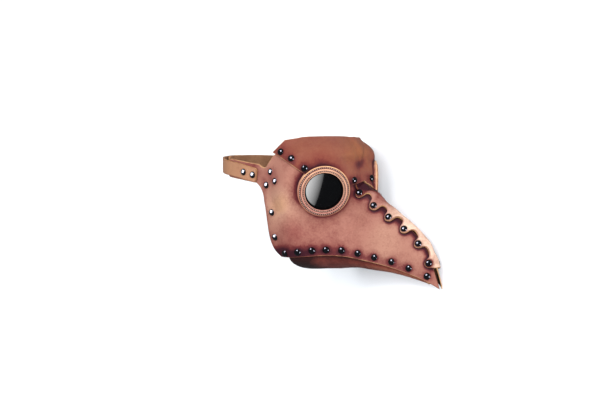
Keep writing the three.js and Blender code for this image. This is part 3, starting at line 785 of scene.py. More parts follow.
class Nodes:
    """A short way to build a shader tree."""

    def __init__(self, name):
        self.material = bpy.data.materials.new(name)
        self.material.use_nodes = True
        self.tree = self.material.node_tree
        self.tree.nodes.clear()
        output = self.tree.nodes.new("ShaderNodeOutputMaterial")
        self.shader = self.tree.nodes.new("ShaderNodeBsdfPrincipled")
        self.tree.links.new(self.shader.outputs[0], output.inputs[0])

    def node(self, kind, inputs=None, **settings):
        made = self.tree.nodes.new(kind)
        for key, value in settings.items():
            setattr(made, key, value)
        for key, value in (inputs or {}).items():
            self.give(made.inputs[key], value)
        return made

    def give(self, socket, value):
        if isinstance(value, bpy.types.NodeSocket):
            self.tree.links.new(value, socket)
        else:
            socket.default_value = value

    def math(self, operation, a, b):
        return self.node("ShaderNodeMath", {0: a, 1: b}, operation=operation).outputs[0]

    def times(self, value, factor):
        return self.math("MULTIPLY", value, factor)

    def swing(self, value, size):
        """A noise value turned into one that goes evenly to both sides of zero."""
        return self.times(self.math("SUBTRACT", value, 0.5), size)

    def mix(self, factor, a, b):
        made = self.node("ShaderNodeMix", data_type="RGBA")
        self.give(made.inputs[0], factor)
        self.give(made.inputs[6], a)
        self.give(made.inputs[7], b)
        return made.outputs[2]

    def field(self, name):
        return self.node("ShaderNodeAttribute", attribute_name=name).outputs["Fac"]

    def ramp(self, value, low, high):
        made = self.node("ShaderNodeMapRange", {0: value, 1: low, 2: high, 3: 0.0, 4: 1.0})
        return made.outputs[0]

    def noise(self, scale, detail=2.0, roughness=0.5, stretch=None):
        place = self.node("ShaderNodeTexCoord").outputs["Object"]
        if stretch:
            place = self.node("ShaderNodeMapping", {"Vector": place, "Scale": stretch}).outputs[0]
        made = self.node("ShaderNodeTexNoise", {"Vector": place, "Scale": scale * 1000,
                                                "Detail": detail, "Roughness": roughness})
        return made.outputs[0]

    def cells(self, scale):
        place = self.node("ShaderNodeTexCoord").outputs["Object"]
        made = self.node("ShaderNodeTexVoronoi", {"Vector": place, "Scale": scale * 1000},
                         feature="DISTANCE_TO_EDGE")
        return made.outputs[0]

    def look(self, inputs):
        """Gives values and sockets to the shader and returns the finished material."""
        for key, value in inputs.items():
            self.give(self.shader.inputs[key], value)
        return self.material

    def bump(self, height, strength, distance, under=None):
        inputs = {"Height": height, "Strength": strength, "Distance": distance / 1000}
        if under is not None:
            inputs["Normal"] = under
        return self.node("ShaderNodeBump", inputs).outputs[0]


def rgb(red, green, blue):
    """A colour given as screen values from 0 to 255, as a linear colour."""
    linear = []
    for value in (red, green, blue):
        v = value / 255
        linear.append(v / 12.92 if v <= 0.04045 else ((v + 0.055) / 1.055) ** 2.4)
    return (*linear, 1.0)


TAN = rgb(181, 137, 116)
GOLD = rgb(184, 138, 104)
PINK = rgb(146, 90, 80)
ROSE = rgb(132, 60, 49)
MAUVE = rgb(130, 59, 55)
# the darkest colour, used for sprayed dye and for painted shade
DYE_AND_SHADE = rgb(54, 20, 29)
RAW_EDGE = rgb(206, 158, 112)
# painted shade inside the open tip of the beak
TIP_SHADE = rgb(26, 14, 12)


def leather_material(name, warmth_and_highlight=TAN, cool=PINK, dye_and_shade=DYE_AND_SHADE, rough=0.52, golden=None,
                     light_dye_and_shade=ROSE):
    """Smooth veg-tanned leather. One field darkens it from the lighter dye colour to the darker
    one: sprayed dye in most places, painted shade in some. Another moves its ground from cool to
    warm and on to golden: the leather's own tone, with painted highlights in places."""
    n = Nodes(name)
    broad = n.noise(0.018, 3.0, 0.55)
    patches = n.noise(0.07, 4.0, 0.6)
    fine = n.noise(0.38, 4.0, 0.65)
    pores = n.cells(0.95)
    tone = n.math("ADD", n.field("warmth_and_highlight"), n.swing(broad, 1.3))
    ground = n.mix(n.ramp(tone, -0.5, 0.9), cool, warmth_and_highlight)
    ground = n.mix(n.ramp(tone, 0.7, 1.5), ground, golden or warmth_and_highlight)
    amount = n.math("ADD", n.field("dye_and_shade"), n.swing(patches, 0.66))
    amount = n.math("ADD", amount, n.swing(fine, 0.5))
    colour = n.mix(n.ramp(amount, 0.02, 0.62), ground, n.mix(0.36, light_dye_and_shade, dye_and_shade))
    colour = n.mix(n.ramp(amount, 0.45, 1.15), colour, dye_and_shade)
    colour = n.mix(n.times(n.ramp(pores, 0.10, 0.0), 0.18), colour, dye_and_shade)
    creases = n.bump(n.noise(0.2, 5.0, 0.65), 0.42, 0.9)
    return n.look({"Base Color": colour,
                   "Roughness": n.math("ADD", rough, n.swing(patches, 0.22)),
                   "Specular IOR Level": 0.22,
                   "Normal": n.bump(n.ramp(pores, 0.0, 0.22), 0.22, 0.18, creases)})


def edge_material(name, light=RAW_EDGE, dark=rgb(116, 64, 46)):
    """The raw cut edge of leather: pale and fibrous, darkened here and there by burnishing and by
    painted shade.
    """
    n = Nodes(name)
    fibres = n.noise(1.4, 3.0, 0.65)
    patches = n.noise(0.09, 3.0, 0.6)
    worn = n.math("ADD", n.times(fibres, 0.5), n.times(patches, 0.7))
    # this darkening holds burnished edges and painted shade
    worn = n.math("SUBTRACT", worn, n.times(n.field("burnish_and_shade"), 0.5))
    return n.look({"Base Color": n.mix(n.ramp(worn, 0.25, 0.72), dark, light),
                   "Roughness": 0.62,
                   "Normal": n.bump(fibres, 0.35, 0.25)})


def flesh_material():
    """The suede inner face of the leather. The field inside darkens it at the beak's tip: painted
    shade inside the opening.
    """
    n = Nodes("body_leather_flesh")
    nap = n.noise(1.1, 4.0, 0.7)
    patches = n.noise(0.045, 4.0, 0.6)
    tone = n.math("ADD", n.times(nap, 0.45), n.times(patches, 0.75))
    colour = n.mix(n.ramp(tone, 0.35, 0.85), rgb(100, 66, 48), rgb(150, 112, 84))
    return n.look({"Base Color": n.mix(n.ramp(n.field("inside"), 0.05, 0.6), colour, TIP_SHADE),
                   "Roughness": 0.9,
                   "Specular IOR Level": 0.15,
                   "Normal": n.bump(nap, 0.5, 0.35)})


def metal_material():
    """Polished cap with faint smudges and fine scratches."""
    n = Nodes("rivet_metal")
    smudge = n.noise(0.7, 4.0, 0.6)
    scratches = n.noise(2.2, 2.0, 0.5, stretch=(1.0, 9.0, 1.0))
    return n.look({"Base Color": n.mix(n.ramp(smudge, 0.3, 0.75), rgb(46, 46, 52),
                                       rgb(76, 76, 82)),
                   "Metallic": 1.0,
                   "Roughness": n.math("ADD", 0.10, n.times(smudge, 0.10)),
                   "Normal": n.bump(scratches, 0.04, 0.05)})


def lens_material():
    """Nearly black tinted lens, with a faint haze of dust."""
    n = Nodes("lens_tinted")
    haze = n.noise(0.12, 4.0, 0.6)
    return n.look({"Base Color": n.mix(haze, rgb(2, 2, 3), rgb(6, 6, 7)),
                   "Roughness": n.math("ADD", 0.03, n.times(haze, 0.05)),
                   "Specular IOR Level": 0.2})


def rim_material():
    """The dull black bead that holds the lens."""
    n = Nodes("lens_rim")
    wear = n.noise(0.8, 3.0, 0.6)
    return n.look({"Base Color": n.mix(wear, rgb(4, 4, 4), rgb(10, 8, 9)),
                   "Roughness": 0.5,
                   "Specular IOR Level": 0.0,
                   "Normal": n.bump(wear, 0.2, 0.1)})


def thread_material(name, colour):
    """Waxed sewing thread."""
    n = Nodes(name)
    twist = n.noise(2.5, 2.0, 0.5)
    return n.look({"Base Color": n.mix(n.times(twist, 0.25), colour, DYE_AND_SHADE),
                   "Roughness": 0.7,
                   "Normal": n.bump(twist, 0.3, 0.2)})


body_leather = leather_material("body_leather", golden=GOLD, light_dye_and_shade=MAUVE)
body_edge = edge_material("body_leather_edge")
body_flesh = flesh_material()
strap_leather = leather_material("strap_leather", warmth_and_highlight=rgb(178, 132, 100), cool=rgb(162, 114, 90),
                                 rough=0.5)
strap_edge = edge_material("strap_leather_edge", rgb(190, 142, 96), rgb(112, 62, 42))
# the gusset's dark ground is its own orange-brown deepened by painted shade on the underside
gusset_leather = leather_material("gusset_leather", warmth_and_highlight=rgb(156, 96, 72), cool=rgb(86, 42, 35),
                                  dye_and_shade=rgb(46, 22, 21), rough=0.6)
# the forehead is darker and more orange than the sides: its own colour, deepened by painted shade
forehead_leather = leather_material("forehead_leather", warmth_and_highlight=rgb(140, 84, 51),
                                    cool=rgb(120, 69, 63))
# the pale warm colour is the painted highlight along the crest
ridge_leather = leather_material("ridge_leather", warmth_and_highlight=rgb(216, 182, 160), cool=rgb(150, 94, 84))
ring_leather = leather_material("ring_leather", warmth_and_highlight=rgb(206, 158, 130), cool=rgb(198, 134, 130))
# the ring's cut edge is paler than the others: partly painted highlight where it catches the light
ring_edge = edge_material("ring_edge", rgb(222, 176, 130), rgb(170, 112, 84))
rivet_metal = metal_material()
lens_tinted = lens_material()
lens_rim = rim_material()
thread_light = thread_material("thread_light", rgb(240, 204, 180))
thread_dark = thread_material("thread_dark", rgb(236, 196, 176))


def dress(mesh, *materials):
    for material in materials:
        mesh.materials.append(material)
    return mesh


def add_leather(name, node, sheet, thickness, leather, edge=body_edge, slot="body_leather",
                rounding=0.8):
    """Adds a closed sheet of leather, between two distances from its points, for one node."""
    mesh = make_shell(node, sheet, *thickness, rounding)
    add_piece(name, dress(mesh, leather, body_flesh, edge), slot, node)


# Dye and tone, with painted shade and painted highlights, worked out from the distance to what they
# follow

def glow(distance, size):
    return np.exp(-(distance / size) ** 2)


def nearest(points, places):
    gaps = [np.linalg.norm(points - np.asarray(place, float), axis=-1) for place in places]
    return np.min(gaps, axis=0)


def glow_near(points, places, size):
    return glow(nearest(points, places), size)


def ring_radius(points, side):
    """Distance from the eye's axis, and the angle round it from above, clockwise in front."""
    axis = eye_axis(side)
    away = points - eye_centre(side)
    away = away - (away @ axis)[:, None] * axis
    up = unit(np.array([0, 0, 1.0]) - axis[2] * axis)
    ahead = np.cross(axis, up) * HAND[side]
    return np.linalg.norm(away, axis=1), np.arctan2(away @ ahead, away @ up)


RING_FRONT = 36.0              # outer radius of the ring, where the dye and painted shade round it start

# Soft patches of sprayed dye, the strongest of them painted shade at the rear lower corner, and of
# warmer or cooler leather, some of them painted highlights: (h, z), size and strength
DYE_AND_SHADE_PATCHES = [((-58, 31), 9, 0.25), ((-8, 2), 8, 0.3), ((-104, 47), 9, 0.25), ((-98, 30), 12, 0.2),
               ((-98, -68), 16, 0.22), ((-108, -99), 12, 1.0), ((101, -134), 9, 0.12),
               ((-122, 8), 9, 0.15), ((-2, -30), 18, 0.2), ((-56, -66), 36, 0.27),
               ((2, -52), 18, 0.08), ((90, -120), 13, 0.2), ((52, -108), 14, 0.12),
               ((-84, -99), 12, 0.4)]
TAN_AND_HIGHLIGHT_PATCHES = [((-108, -26), 20, 0.9), ((-122, -40), 18, 0.7), ((-98, -72), 18, -0.3),
               ((-60, 34), 22, 0.3), ((-6, 38), 26, 0.9), ((24, -72), 24, 0.32),
               ((-128, 8), 10, -0.5), ((50, -96), 22, 0.2)]
RED_SPOT = ((-7.6, 21.8), 7.6, 0.78)    # on the right half of the forehead alone


def add_patches(field, layout, patches):
    for place, size, strength in patches:
        field += strength * glow_near(layout, [place], size)


def toward(angle, direction, low, high):
    """0 to 1 by how near an angle round the ring comes to a direction, given in degrees."""
    return smooth_step(np.cos(angle - math.radians(direction)), low, high)


def tone_fields(points, side, seam=True):
    """Fields of dye with painted shade, and of warm tone with painted highlights, for points on the
    skin of one side.
    """
    layout = layout_of(points)
    dye_and_shade = np.zeros(len(points))
    warmth_and_highlight = np.zeros(len(points))
    radius, angle = ring_radius(points, side)
    outside = np.maximum(radius - RING_FRONT, 0)
    above_behind = toward(angle, -40, -0.2, 0.9)
    below_ahead = toward(angle, 140, 0.0, 0.9)
    behind = toward(angle, -90, 0.1, 0.9)
    # dye round the ring, darkest above and behind it, and a narrow painted shadow below and ahead
    # where the ring stands off the panel
    dye_and_shade += (0.14 + 0.46 * above_behind + 0.45 * below_ahead) * glow(outside, 3.5)
    dye_and_shade += (0.50 * above_behind + 0.20 * below_ahead + 0.18 * behind) * glow(outside, 11)
    to_bottom = distance_to(BOTTOM.spread(60), layout)
    to_rear = distance_to(REAR.spread(30, 0, 0.86), layout)
    h = layout[:, 0]
    seam_share = 1 - 0.4 * smooth_step(h, -50, 30) - 0.4 * smooth_step(h, 50, 88)
    if seam:
        dye_and_shade += seam_share * (0.48 * glow(to_bottom - 4, 7.5) + 0.20 * glow(to_bottom, 20))
        dye_and_shade += 0.34 * glow(to_rear, 4.0)
    dye_and_shade += (0.46 + 0.22 * seam_share) * glow_near(layout, SEAM_RIVETS, 6.5)
    dye_and_shade += 0.35 * glow_near(layout, REAR_RIVETS, 5.5)
    dye_and_shade += 0.50 * glow_near(layout, FOREHEAD_RIVETS, 6.5)
    add_patches(dye_and_shade, layout, DYE_AND_SHADE_PATCHES)
    unfolded = points[:, 0] * LAYOUT_SIN + points[:, 1] * LAYOUT_COS
    add_patches(dye_and_shade, np.stack([unfolded, points[:, 2]], 1), [RED_SPOT])
    # warmer, lighter patches, some of them painted highlights
    add_patches(warmth_and_highlight, layout, TAN_AND_HIGHLIGHT_PATCHES)
    return dye_and_shade, warmth_and_highlight


# Side panels with their tabs, one sheet each

OUTLINE_SPACING = 1.3
TAB_ROOT = {"upper_h": -141, "lower_h": -143, "rear_z": -25}    # where the edges give way to bends
UPPER_BEND = (-135.5, 16.5)
LOWER_BEND = (-135.5, -10.5)
TAB_BLEND = (133, 150)        # the skin turns into the tab between these distances behind
PANEL_HOLE = 34.6             # radius of the eye hole, hidden under the ring


def tab_edges(side):
    """Layout points of the tab's upper and lower edge, from its root to its rounded end."""
    t = np.linspace(0, 1, 90)
    shares = lerp(TAB["from"], TAB["to"], t)
    half = (TAB["half"] + TAB["flare"] * np.exp(-t * 9)) * rounded_end(1 - t, 0.06)
    point, _, upward = band_frame(shares, side)
    return layout_of(point + upward * half[:, None]), layout_of(point - upward * half[:, None])


def rounded_corner(before, corner, after, steps):
    """A curve from before to after that bends at the corner."""
    t = np.linspace(0, 1, steps + 2)[1:-1, None]
    before, corner, after = (np.asarray(p, float) for p in (before, corner, after))
    return before * (1 - t) ** 2 + corner * 2 * t * (1 - t) + after * t ** 2


def side_outline(side):
    """The panel's outline: along the bottom, up the tip, back over the crown and round the tab."""
    ridge_shares = np.linspace(RIDGE_EDGE["from"], RIDGE_EDGE["to"], 11)
    ridge = layout_of(beside_ridge(ridge_shares, RIDGE_EDGE["away"], side))
    top = Curve([*CROWN, *map(tuple, ridge)])
    bottom = BOTTOM.spread(200)
    front = Curve([bottom[-1], TIP_EDGE[side], ridge[-1]]).spread(40)
    crown = top.spread(260, 1, 0)
    upper, lower = tab_edges(side)
    rear = REAR.spread(160, 1, 0)
    upper = upper[upper[:, 0] < TAB_ROOT["upper_h"]]
    lower = lower[lower[:, 0] < TAB_ROOT["lower_h"]]
    rear = rear[rear[:, 1] < TAB_ROOT["rear_z"]]
    upper_bend = rounded_corner(crown[-1], UPPER_BEND, upper[0], 8)
    lower_bend = rounded_corner(lower[0], LOWER_BEND, rear[0], 12)
    loop = np.vstack([bottom[:-1], front[:-1], crown, upper_bend, upper, lower[::-1], lower_bend,
                      rear[:-1]])
    return evenly(loop, OUTLINE_SPACING)


def on_tab(layout, side):
    """Points and normals of the tab's outer face at layout points."""
    shares = np.linspace(0, TAB["to"] + 0.03, 200)
    line, _, _ = band_frame(shares, side)
    at = np.interp(-layout[:, 0], -layout_of(line)[:, 0], shares)
    point, outward, upward = band_frame(at, side)
    offset = (layout[:, 1] - point[:, 2]) / upward[:, 2]
    return point + upward * offset[:, None], outward


def eye_loop(side, radius, count):
    """Layout points of a circle round the eye."""
    axis = eye_axis(side)
    first = unit(np.cross(axis, (0, 0, 1.0)))
    second = np.cross(axis, first)
    a = np.linspace(0, 2 * math.pi, count, endpoint=False)[:, None]
    return layout_of(eye_centre(side) + radius * (np.cos(a) * first + np.sin(a) * second))


def side_panel(side):
    layout, faces = triangulate(side_outline(side), eye_loop(side, PANEL_HOLE, 110))
    points, normals = skin_at(layout, side)
    tab_points, tab_normals = on_tab(layout, side)
    weight = smooth_step(-layout[:, 0], *TAB_BLEND)[:, None]
    points = lerp(points, tab_points, weight)
    normals = unit(lerp(normals, tab_normals, weight))
    dye_and_shade, warmth_and_highlight = tone_fields(points, side)
    # painted shadow beside the strip's edge, under its lobes
    to_strip = distance_to(ridge_shadow(side), layout)
    dye_and_shade += 1.1 * glow(to_strip, 2.6) + 0.28 * glow(to_strip, 7.0)
    # painted shade in the bays between the lobes
    middles = [(lobe_share(k) + lobe_share(k + 1)) / 2 for k in range(STRIP["lobes"] - 1)]
    bays = on_flank(middles, rivet_reach(middles) - 5.5 + FLANK_SHIFT[side], side)
    dye_and_shade += 1.0 * glow_near(points, bays, 6.0)
    on_band = weight[:, 0]
    dye_and_shade = dye_and_shade * (1 - on_band) + on_band * (0.22 + 0.25 * glow_near(layout, [(-145, 20)], 12))
    warmth_and_highlight = warmth_and_highlight * (1 - on_band) - 0.35 * on_band
    calm = 1 - glow(np.maximum(ring_radius(points, side)[0] - SEAT_FLAT, 0), 8)
    wave = waviness(points, 26, 0.55, 1 + HAND[side]) * calm
    at_tip = glow(layout[:, 0] - 102, 12)
    # at the tip the right panel's cut edge is darkened as painted shade along the slit and the left
    # one's made paler; inside darkens the flesh there as painted shade in the opening
    burnish_and_shade = dye_and_shade * 0.8 + (1.6 * at_tip if side == "right" else -0.4 * at_tip)
    sheet = Sheet(points, normals, faces, wave, dye_and_shade=dye_and_shade, warmth_and_highlight=warmth_and_highlight, burnish_and_shade=burnish_and_shade,
                  inside=at_tip)
    add_leather(f"leather_side_panel_{side}", f"side_panel_{side}", sheet,
                (-LEATHER + TIP_THINNER * at_tip, 0.0), body_leather)


# Forehead panel

ON_MIDDLE = 0.02


def forehead_half(side):
    """One half of the sheet, and which of its points lie on the middle line."""
    z = np.linspace(*BROW_MIDDLE, 48)
    middle = np.stack([middle_h(z), z], 1)
    low = Curve([*BROW_BOTTOM[side], tuple(middle[0])]).spread(160)
    top = Curve([*BROW_TOP[side], tuple(middle[-1])]).spread(90, 1, 0)
    side_edge = np.linspace(top[-1], low[0], 16)
    loop = np.vstack([low[:-1], middle, top[1:-1], side_edge[:-1]])
    layout, faces = triangulate(loop, eye_loop(side, BROW_HOLE[side], 150))
    points = skin_points(layout, side)
    at_middle = distance_to(middle, layout) < ON_MIDDLE
    points[at_middle, 1] = 0
    normals = skin_normals(points, side)
    normals[at_middle, 1] = 0
    return points, unit(normals), faces, at_middle


def forehead_panel():
    """Both halves, with the points of the middle line shared."""
    right, right_n, right_f, right_m = forehead_half("right")
    left, left_n, left_f, left_m = forehead_half("left")
    twin = np.arange(len(left)) + len(right)
    for k in np.flatnonzero(left_m):
        gaps = np.linalg.norm(right - left[k], axis=1)
        gaps[~right_m] = np.inf
        twin[k] = int(np.argmin(gaps))
    points = np.vstack([right, left])
    normals = np.vstack([right_n, left_n])
    used, faces = compact(np.vstack([right_f, twin[left_f]]), len(points))
    right_dye_and_shade, right_warmth_and_highlight = tone_fields(right, "right", seam=False)
    left_dye_and_shade, left_warmth_and_highlight = tone_fields(left, "left", seam=False)
    # painted shadow along the gap between the left half and its ring
    left_dye_and_shade += 1.3 * glow(ring_radius(left, "left")[0] - RING_FRONT, 2.2)
    dye_and_shade = np.concatenate([right_dye_and_shade, left_dye_and_shade])[used]
    warmth_and_highlight = np.concatenate([right_warmth_and_highlight, left_warmth_and_highlight])[used]
    points = points[used]
    normals = normals[used]
    layout = layout_of(points)
    low_edge = Curve(BROW_BOTTOM["right"]).spread(60)
    dye_and_shade += 0.18 * glow(distance_to(low_edge, layout), 5) + 0.10
    burnish_and_shade = dye_and_shade * 0.6 + 2.4 * glow_near(layout, [(-12, -4)], 9) * (points[:, 1] < 0)
    sheet = Sheet(points, normals, faces, waviness(points, 28, 0.5, 5), dye_and_shade=dye_and_shade, warmth_and_highlight=warmth_and_highlight,
                  burnish_and_shade=burnish_and_shade)
    add_leather("leather_forehead_panel", "forehead_panel", sheet, (UPPER_LOW, UPPER),
                forehead_leather)


# Beak ridge strip, with round lobes and round bays between them

STRIP_EDGE_SPACING = 0.8
LOBE_RADIUS = 6.8
LOBE_LIFT = 1.3               # how far the middles of the lobes lie above their rivets
BAY_REACHES = (6.0, 3.2, 3.4, 4.2, 6.0)     # how close to the ridge the bays come
STRIP_TUCK = 3.6              # how far the root dives under the forehead panel
BAY_LEAN = 3.0                # how far the bays lean back towards the root
EDGE_SMOOTHINGS = 6           # rounds the corners between lobes and bays by about a millimetre


def strip_outline():
    """Edge of the strip as shares of the ridge and reaches down the flank, along its length."""
    length = ridge_curve.length
    base = STRIP["rivet_reach"]
    centres = [lobe_share(k) * length for k in range(STRIP["lobes"])]
    middle = base - LOBE_LIFT
    edge = []
    for k, centre in enumerate(centres):
        for a in np.radians(np.linspace(-90, 90, 26)):
            edge.append((centre + LOBE_RADIUS * math.sin(a), middle + LOBE_RADIUS * math.cos(a)))
        if k + 1 < len(centres):
            half = (centres[k + 1] - centre) / 2 - LOBE_RADIUS
            depth = min(half, middle - BAY_REACHES[k])
            start = BAY_REACHES[k] + depth
            for a in np.radians(np.linspace(-90, 90, 30)):
                lean = BAY_LEAN * math.cos(a) ** 2
                edge.append((centre + LOBE_RADIUS + half * (1 + math.sin(a)) - lean,
                             start - depth * math.cos(a)))
    first = STRIP["from"] * length
    edge = [(first, base - 4), (first + 4, base - 2)] + edge
    edge += [(centres[-1] + LOBE_RADIUS, base - 3), (STRIP["to"] * length, base - 5)]
    even = evenly(np.array(edge), STRIP_EDGE_SPACING, closed=False) / (length, 1)
    for _ in range(EDGE_SMOOTHINGS):
        even[1:-1] = (even[:-2] + 2 * even[1:-1] + even[2:]) / 4
    even[:, 1] += rivet_reach(even[:, 0]) - base
    return even


strip_edge = strip_outline()


def ridge_shadow(side):
    """Layout points of the strip's edge on one side, which the painted shadow beside it follows."""
    edge = strip_edge[::4]
    return layout_of(on_flank(edge[:, 0], edge[:, 1] + FLANK_SHIFT[side], side))


def ridge_strip():
    """A grid that goes over the ridge from edge to edge, row by row along the strip."""
    rows = len(strip_edge)
    columns = 26
    straight = np.linspace(strip_edge[0, 0], strip_edge[-1, 0], rows)
    halves = {}
    for side in SIDES:
        reaches = strip_edge[:, 1] + FLANK_SHIFT[side]
        halves[side] = np.stack([on_flank(lerp(straight, strip_edge[:, 0], f), reaches * f, side)
                                 for f in np.linspace(0, 1, columns) ** 0.9], 1)
    crest = halves["right"][:, :1].copy()
    crest[:, :, 1] = 0
    grid = np.concatenate([halves["right"][:, :0:-1], crest, halves["left"][:, 1:]], axis=1)
    right_n = skin_normals(grid[:, :columns].reshape(-1, 3), "right").reshape(rows, columns, 3)
    left_n = skin_normals(grid[:, columns:].reshape(-1, 3), "left").reshape(rows, -1, 3)
    normals = np.concatenate([right_n, left_n], axis=1).reshape(-1, 3)
    points = grid.reshape(-1, 3)
    cols = 2 * columns - 1
    reach = np.abs(np.arange(cols) - (columns - 1)) / (columns - 1)
    reach = np.broadcast_to(reach, (rows, cols)).reshape(-1)
    along = np.repeat(np.linspace(0, 1, rows), cols)
    rivet_spots = [p for name, p, _ in rivets if name.startswith("rivet_ridge")]
    from_rivet = nearest(points, rivet_spots)
    dye_and_shade = 1.35 * (1 - smooth_step(along, 0.03, 0.18)) * (1 - 0.55 * glow(from_rivet, 6.5))
    dye_and_shade += 0.60 * (1 - smooth_step(along, 0.12, 0.45)) * (1 - smooth_step(reach, 0.0, 0.7))
    beside_rivet = np.maximum(from_rivet - RIVET_RADIUS, 0)
    dye_and_shade += 0.85 * glow(beside_rivet, 1.1) + 0.10
    # painted shadow round the rivets near the tip
    dye_and_shade += 0.9 * glow(beside_rivet, 4.0) * smooth_step(along, 0.65, 0.95)
    # painted highlight along the crest of the lower half
    warmth_and_highlight = 1.1 * smooth_step(along, 0.25, 0.55) * (1 - smooth_step(reach, 0.35, 0.85)) - 0.1
    shares = np.repeat(strip_edge[:, 0], cols)
    lift = waviness(points, 17, 1.5, 9) * smooth_step(shares, 0.16, 0.22)
    lift -= STRIP_TUCK * (1 - smooth_step(shares, 0.150, 0.185))
    # cut edges that face the root are darkened: painted shade
    way = np.gradient(strip_edge * (ridge_curve.length, 1), axis=0)
    toward_root = way[:, 1] / np.linalg.norm(way, axis=1)
    burnish_and_shade = 1.2 * smooth_step(np.repeat(toward_root, cols), 0.1, 0.8) + dye_and_shade * 0.5
    sheet = Sheet(points, normals, grid_faces(rows, cols), lift, dye_and_shade=dye_and_shade, warmth_and_highlight=warmth_and_highlight,
                  burnish_and_shade=burnish_and_shade)
    add_leather("leather_ridge_strip", "beak_ridge_strip", sheet, (UPPER_LOW, UPPER - 0.2),
                ridge_leather)


# Underside gusset

GUSSET = {"from": 0.035, "to": 0.9, "overlap": 11.0, "bow": 19.5, "bow_end": 4.5}


def gusset():
    """A grid across the underside: down inside one panel, round the bow, up inside the other."""
    stations = 180
    shares = np.linspace(GUSSET["from"], GUSSET["to"], stations)
    edge = BOTTOM.along(shares)
    taper = np.clip((shares - 0.25) / 0.65, 0, 1)
    bow = lerp(GUSSET["bow"], GUSSET["bow_end"], taper)
    sections = []
    for lift in np.linspace(GUSSET["overlap"], 1, 9):
        points, normals = skin_at(edge + (0, lift), "right")
        sections.append(points - normals * (LEATHER + 0.5))
    rim = sections[-1]
    for a in np.linspace(0, math.pi / 2, 21)[1:]:
        sections.append(np.stack([rim[:, 0], rim[:, 1] * math.cos(a),
                                  rim[:, 2] - (bow + 1) * math.sin(a)], 1))
    half = np.stack(sections, 1)
    half[:, -1, 1] = 0
    mirrored = half[:, -2::-1] * (1, -1, 1)
    grid = np.concatenate([half, mirrored], axis=1)
    rows, cols = grid.shape[:2]
    across = np.gradient(grid, axis=1)
    across[..., 0] = 0
    across = unit(across)
    normals = np.stack([np.zeros((rows, cols)), across[..., 2], -across[..., 1]], -1)
    normals = normals.reshape(-1, 3)
    points = grid.reshape(-1, 3)
    if normals[cols // 2, 2] > 0:
        normals = -normals
    depth = np.concatenate([np.arange(len(sections)), np.arange(len(sections) - 1)[::-1]])
    # the gusset is painted darker as shade: most where it runs in under the panels and at its rear
    # end, less towards the tip
    near_edge = glow(np.broadcast_to(depth - 9.0, (rows, cols)).reshape(-1), 3.5)
    back = 1 - smooth_step(np.repeat(shares, cols), 0.03, 0.25)
    ahead = smooth_step(np.repeat(shares, cols), 0.4, 0.7)
    dye_and_shade = 0.60 + 0.45 * near_edge + 1.0 * back - 0.36 * ahead
    warmth_and_highlight = 0.1 + 0.8 * ahead
    sheet = Sheet(points, normals, grid_faces(rows, cols), waviness(points, 30, 0.7, 11),
                  dye_and_shade=dye_and_shade, warmth_and_highlight=warmth_and_highlight, burnish_and_shade=dye_and_shade)
    add_leather("leather_gusset", "underside_gusset", sheet, (-LEATHER, 0.0), gusset_leather)


# Straps

def strap(side):
    t = np.concatenate([np.linspace(0, 0.03, 14)[:-1], np.linspace(0.03, 0.97, 220),
                        np.linspace(0.97, 1, 14)[1:]])
    shares = lerp(STRAP["from"], 1 + STRAP["overlap"], t)
    # the right strap rises over the end of the left one
    on_top = STRAP["thickness"] + UPPER_LOW if side == "right" else 0
    lift = STRAP["thickness"] + GAP + on_top * smooth_step(shares, 0.72, 0.88)
    half = STRAP["half"] * rounded_end(t, 0.025) * rounded_end(1 - t, 0.03)
    point, outward, upward = band_frame(shares, side)
    point = point - upward * strap_sag(shares)[:, None]
    across = np.linspace(-1, 1, 19)
    grid = point[:, None] + upward[:, None] * (half[:, None, None] * across[None, :, None])
    rows, cols = grid.shape[:2]
    normals = np.repeat(outward, cols, axis=0)
    points = grid.reshape(-1, 3) + normals * np.repeat(lift, cols)[:, None]
    edge = np.abs(np.tile(across, rows))
    end = np.minimum(t, 1 - t)
    dye_and_shade = 0.20 * smooth_step(edge, 0.72, 1.0) + 0.25 * glow(np.repeat(end, cols), 0.012)
    wave = waviness(points, 22, 0.4, 21 + HAND[side])
    sheet = Sheet(points, normals, grid_faces(rows, cols), wave, dye_and_shade=dye_and_shade,
                  warmth_and_highlight=np.full(len(points), 0.35), burnish_and_shade=np.full(len(points), 0.3))
    add_leather(f"leather_strap_{side}", f"strap_{side}", sheet, (-STRAP["thickness"], 0.0),
                strap_leather, strap_edge, "strap_leather", rounding=0.6)


# Turned pieces

ON_AXIS = 1e-6


def turned_mesh(name, profile, segments, closed=False):
    """A mesh turned about local +Z from (radius, height) points. A closed profile makes a ring,
    and an open one starts and ends on the axis."""
    profile = np.array(profile, float)
    a = np.linspace(0, 2 * math.pi, segments, endpoint=False)
    verts = []
    rows = []
    for r, z in profile:
        if r < ON_AXIS:
            rows.append([len(verts)] * segments)
            verts.append((0, 0, z))
        else:
            rows.append(range(len(verts), len(verts) + segments))
            verts.extend(zip(r * np.cos(a), r * np.sin(a), np.full(segments, z)))
    faces = []
    for row, after in zip(rows, rows[1:] + rows[:1] if closed else rows[1:]):
        for k in range(segments):
            n = (k + 1) % segments
            # at the axis two corners are the same, which leaves a triangle
            faces.append(tuple(dict.fromkeys((row[k], row[n], after[n], after[k]))))
    mesh = new_mesh(name, [tuple(map(float, v)) for v in verts], faces)
    mesh.validate()
    mesh.update()
    return mesh


def second_material(mesh, chosen):
    """Gives the second material to faces, chosen by the radius and height of their centres."""
    for face in mesh.polygons:
        radius = math.hypot(face.center[0], face.center[1])
        face.material_index = int(chosen(radius, face.center[2]))


def arc_points(centre_r, centre_z, radius_r, radius_z, start, stop, steps):
    a = np.radians(np.linspace(start, stop, steps))
    return [(centre_r + radius_r * math.cos(t), centre_z + radius_z * math.sin(t)) for t in a]


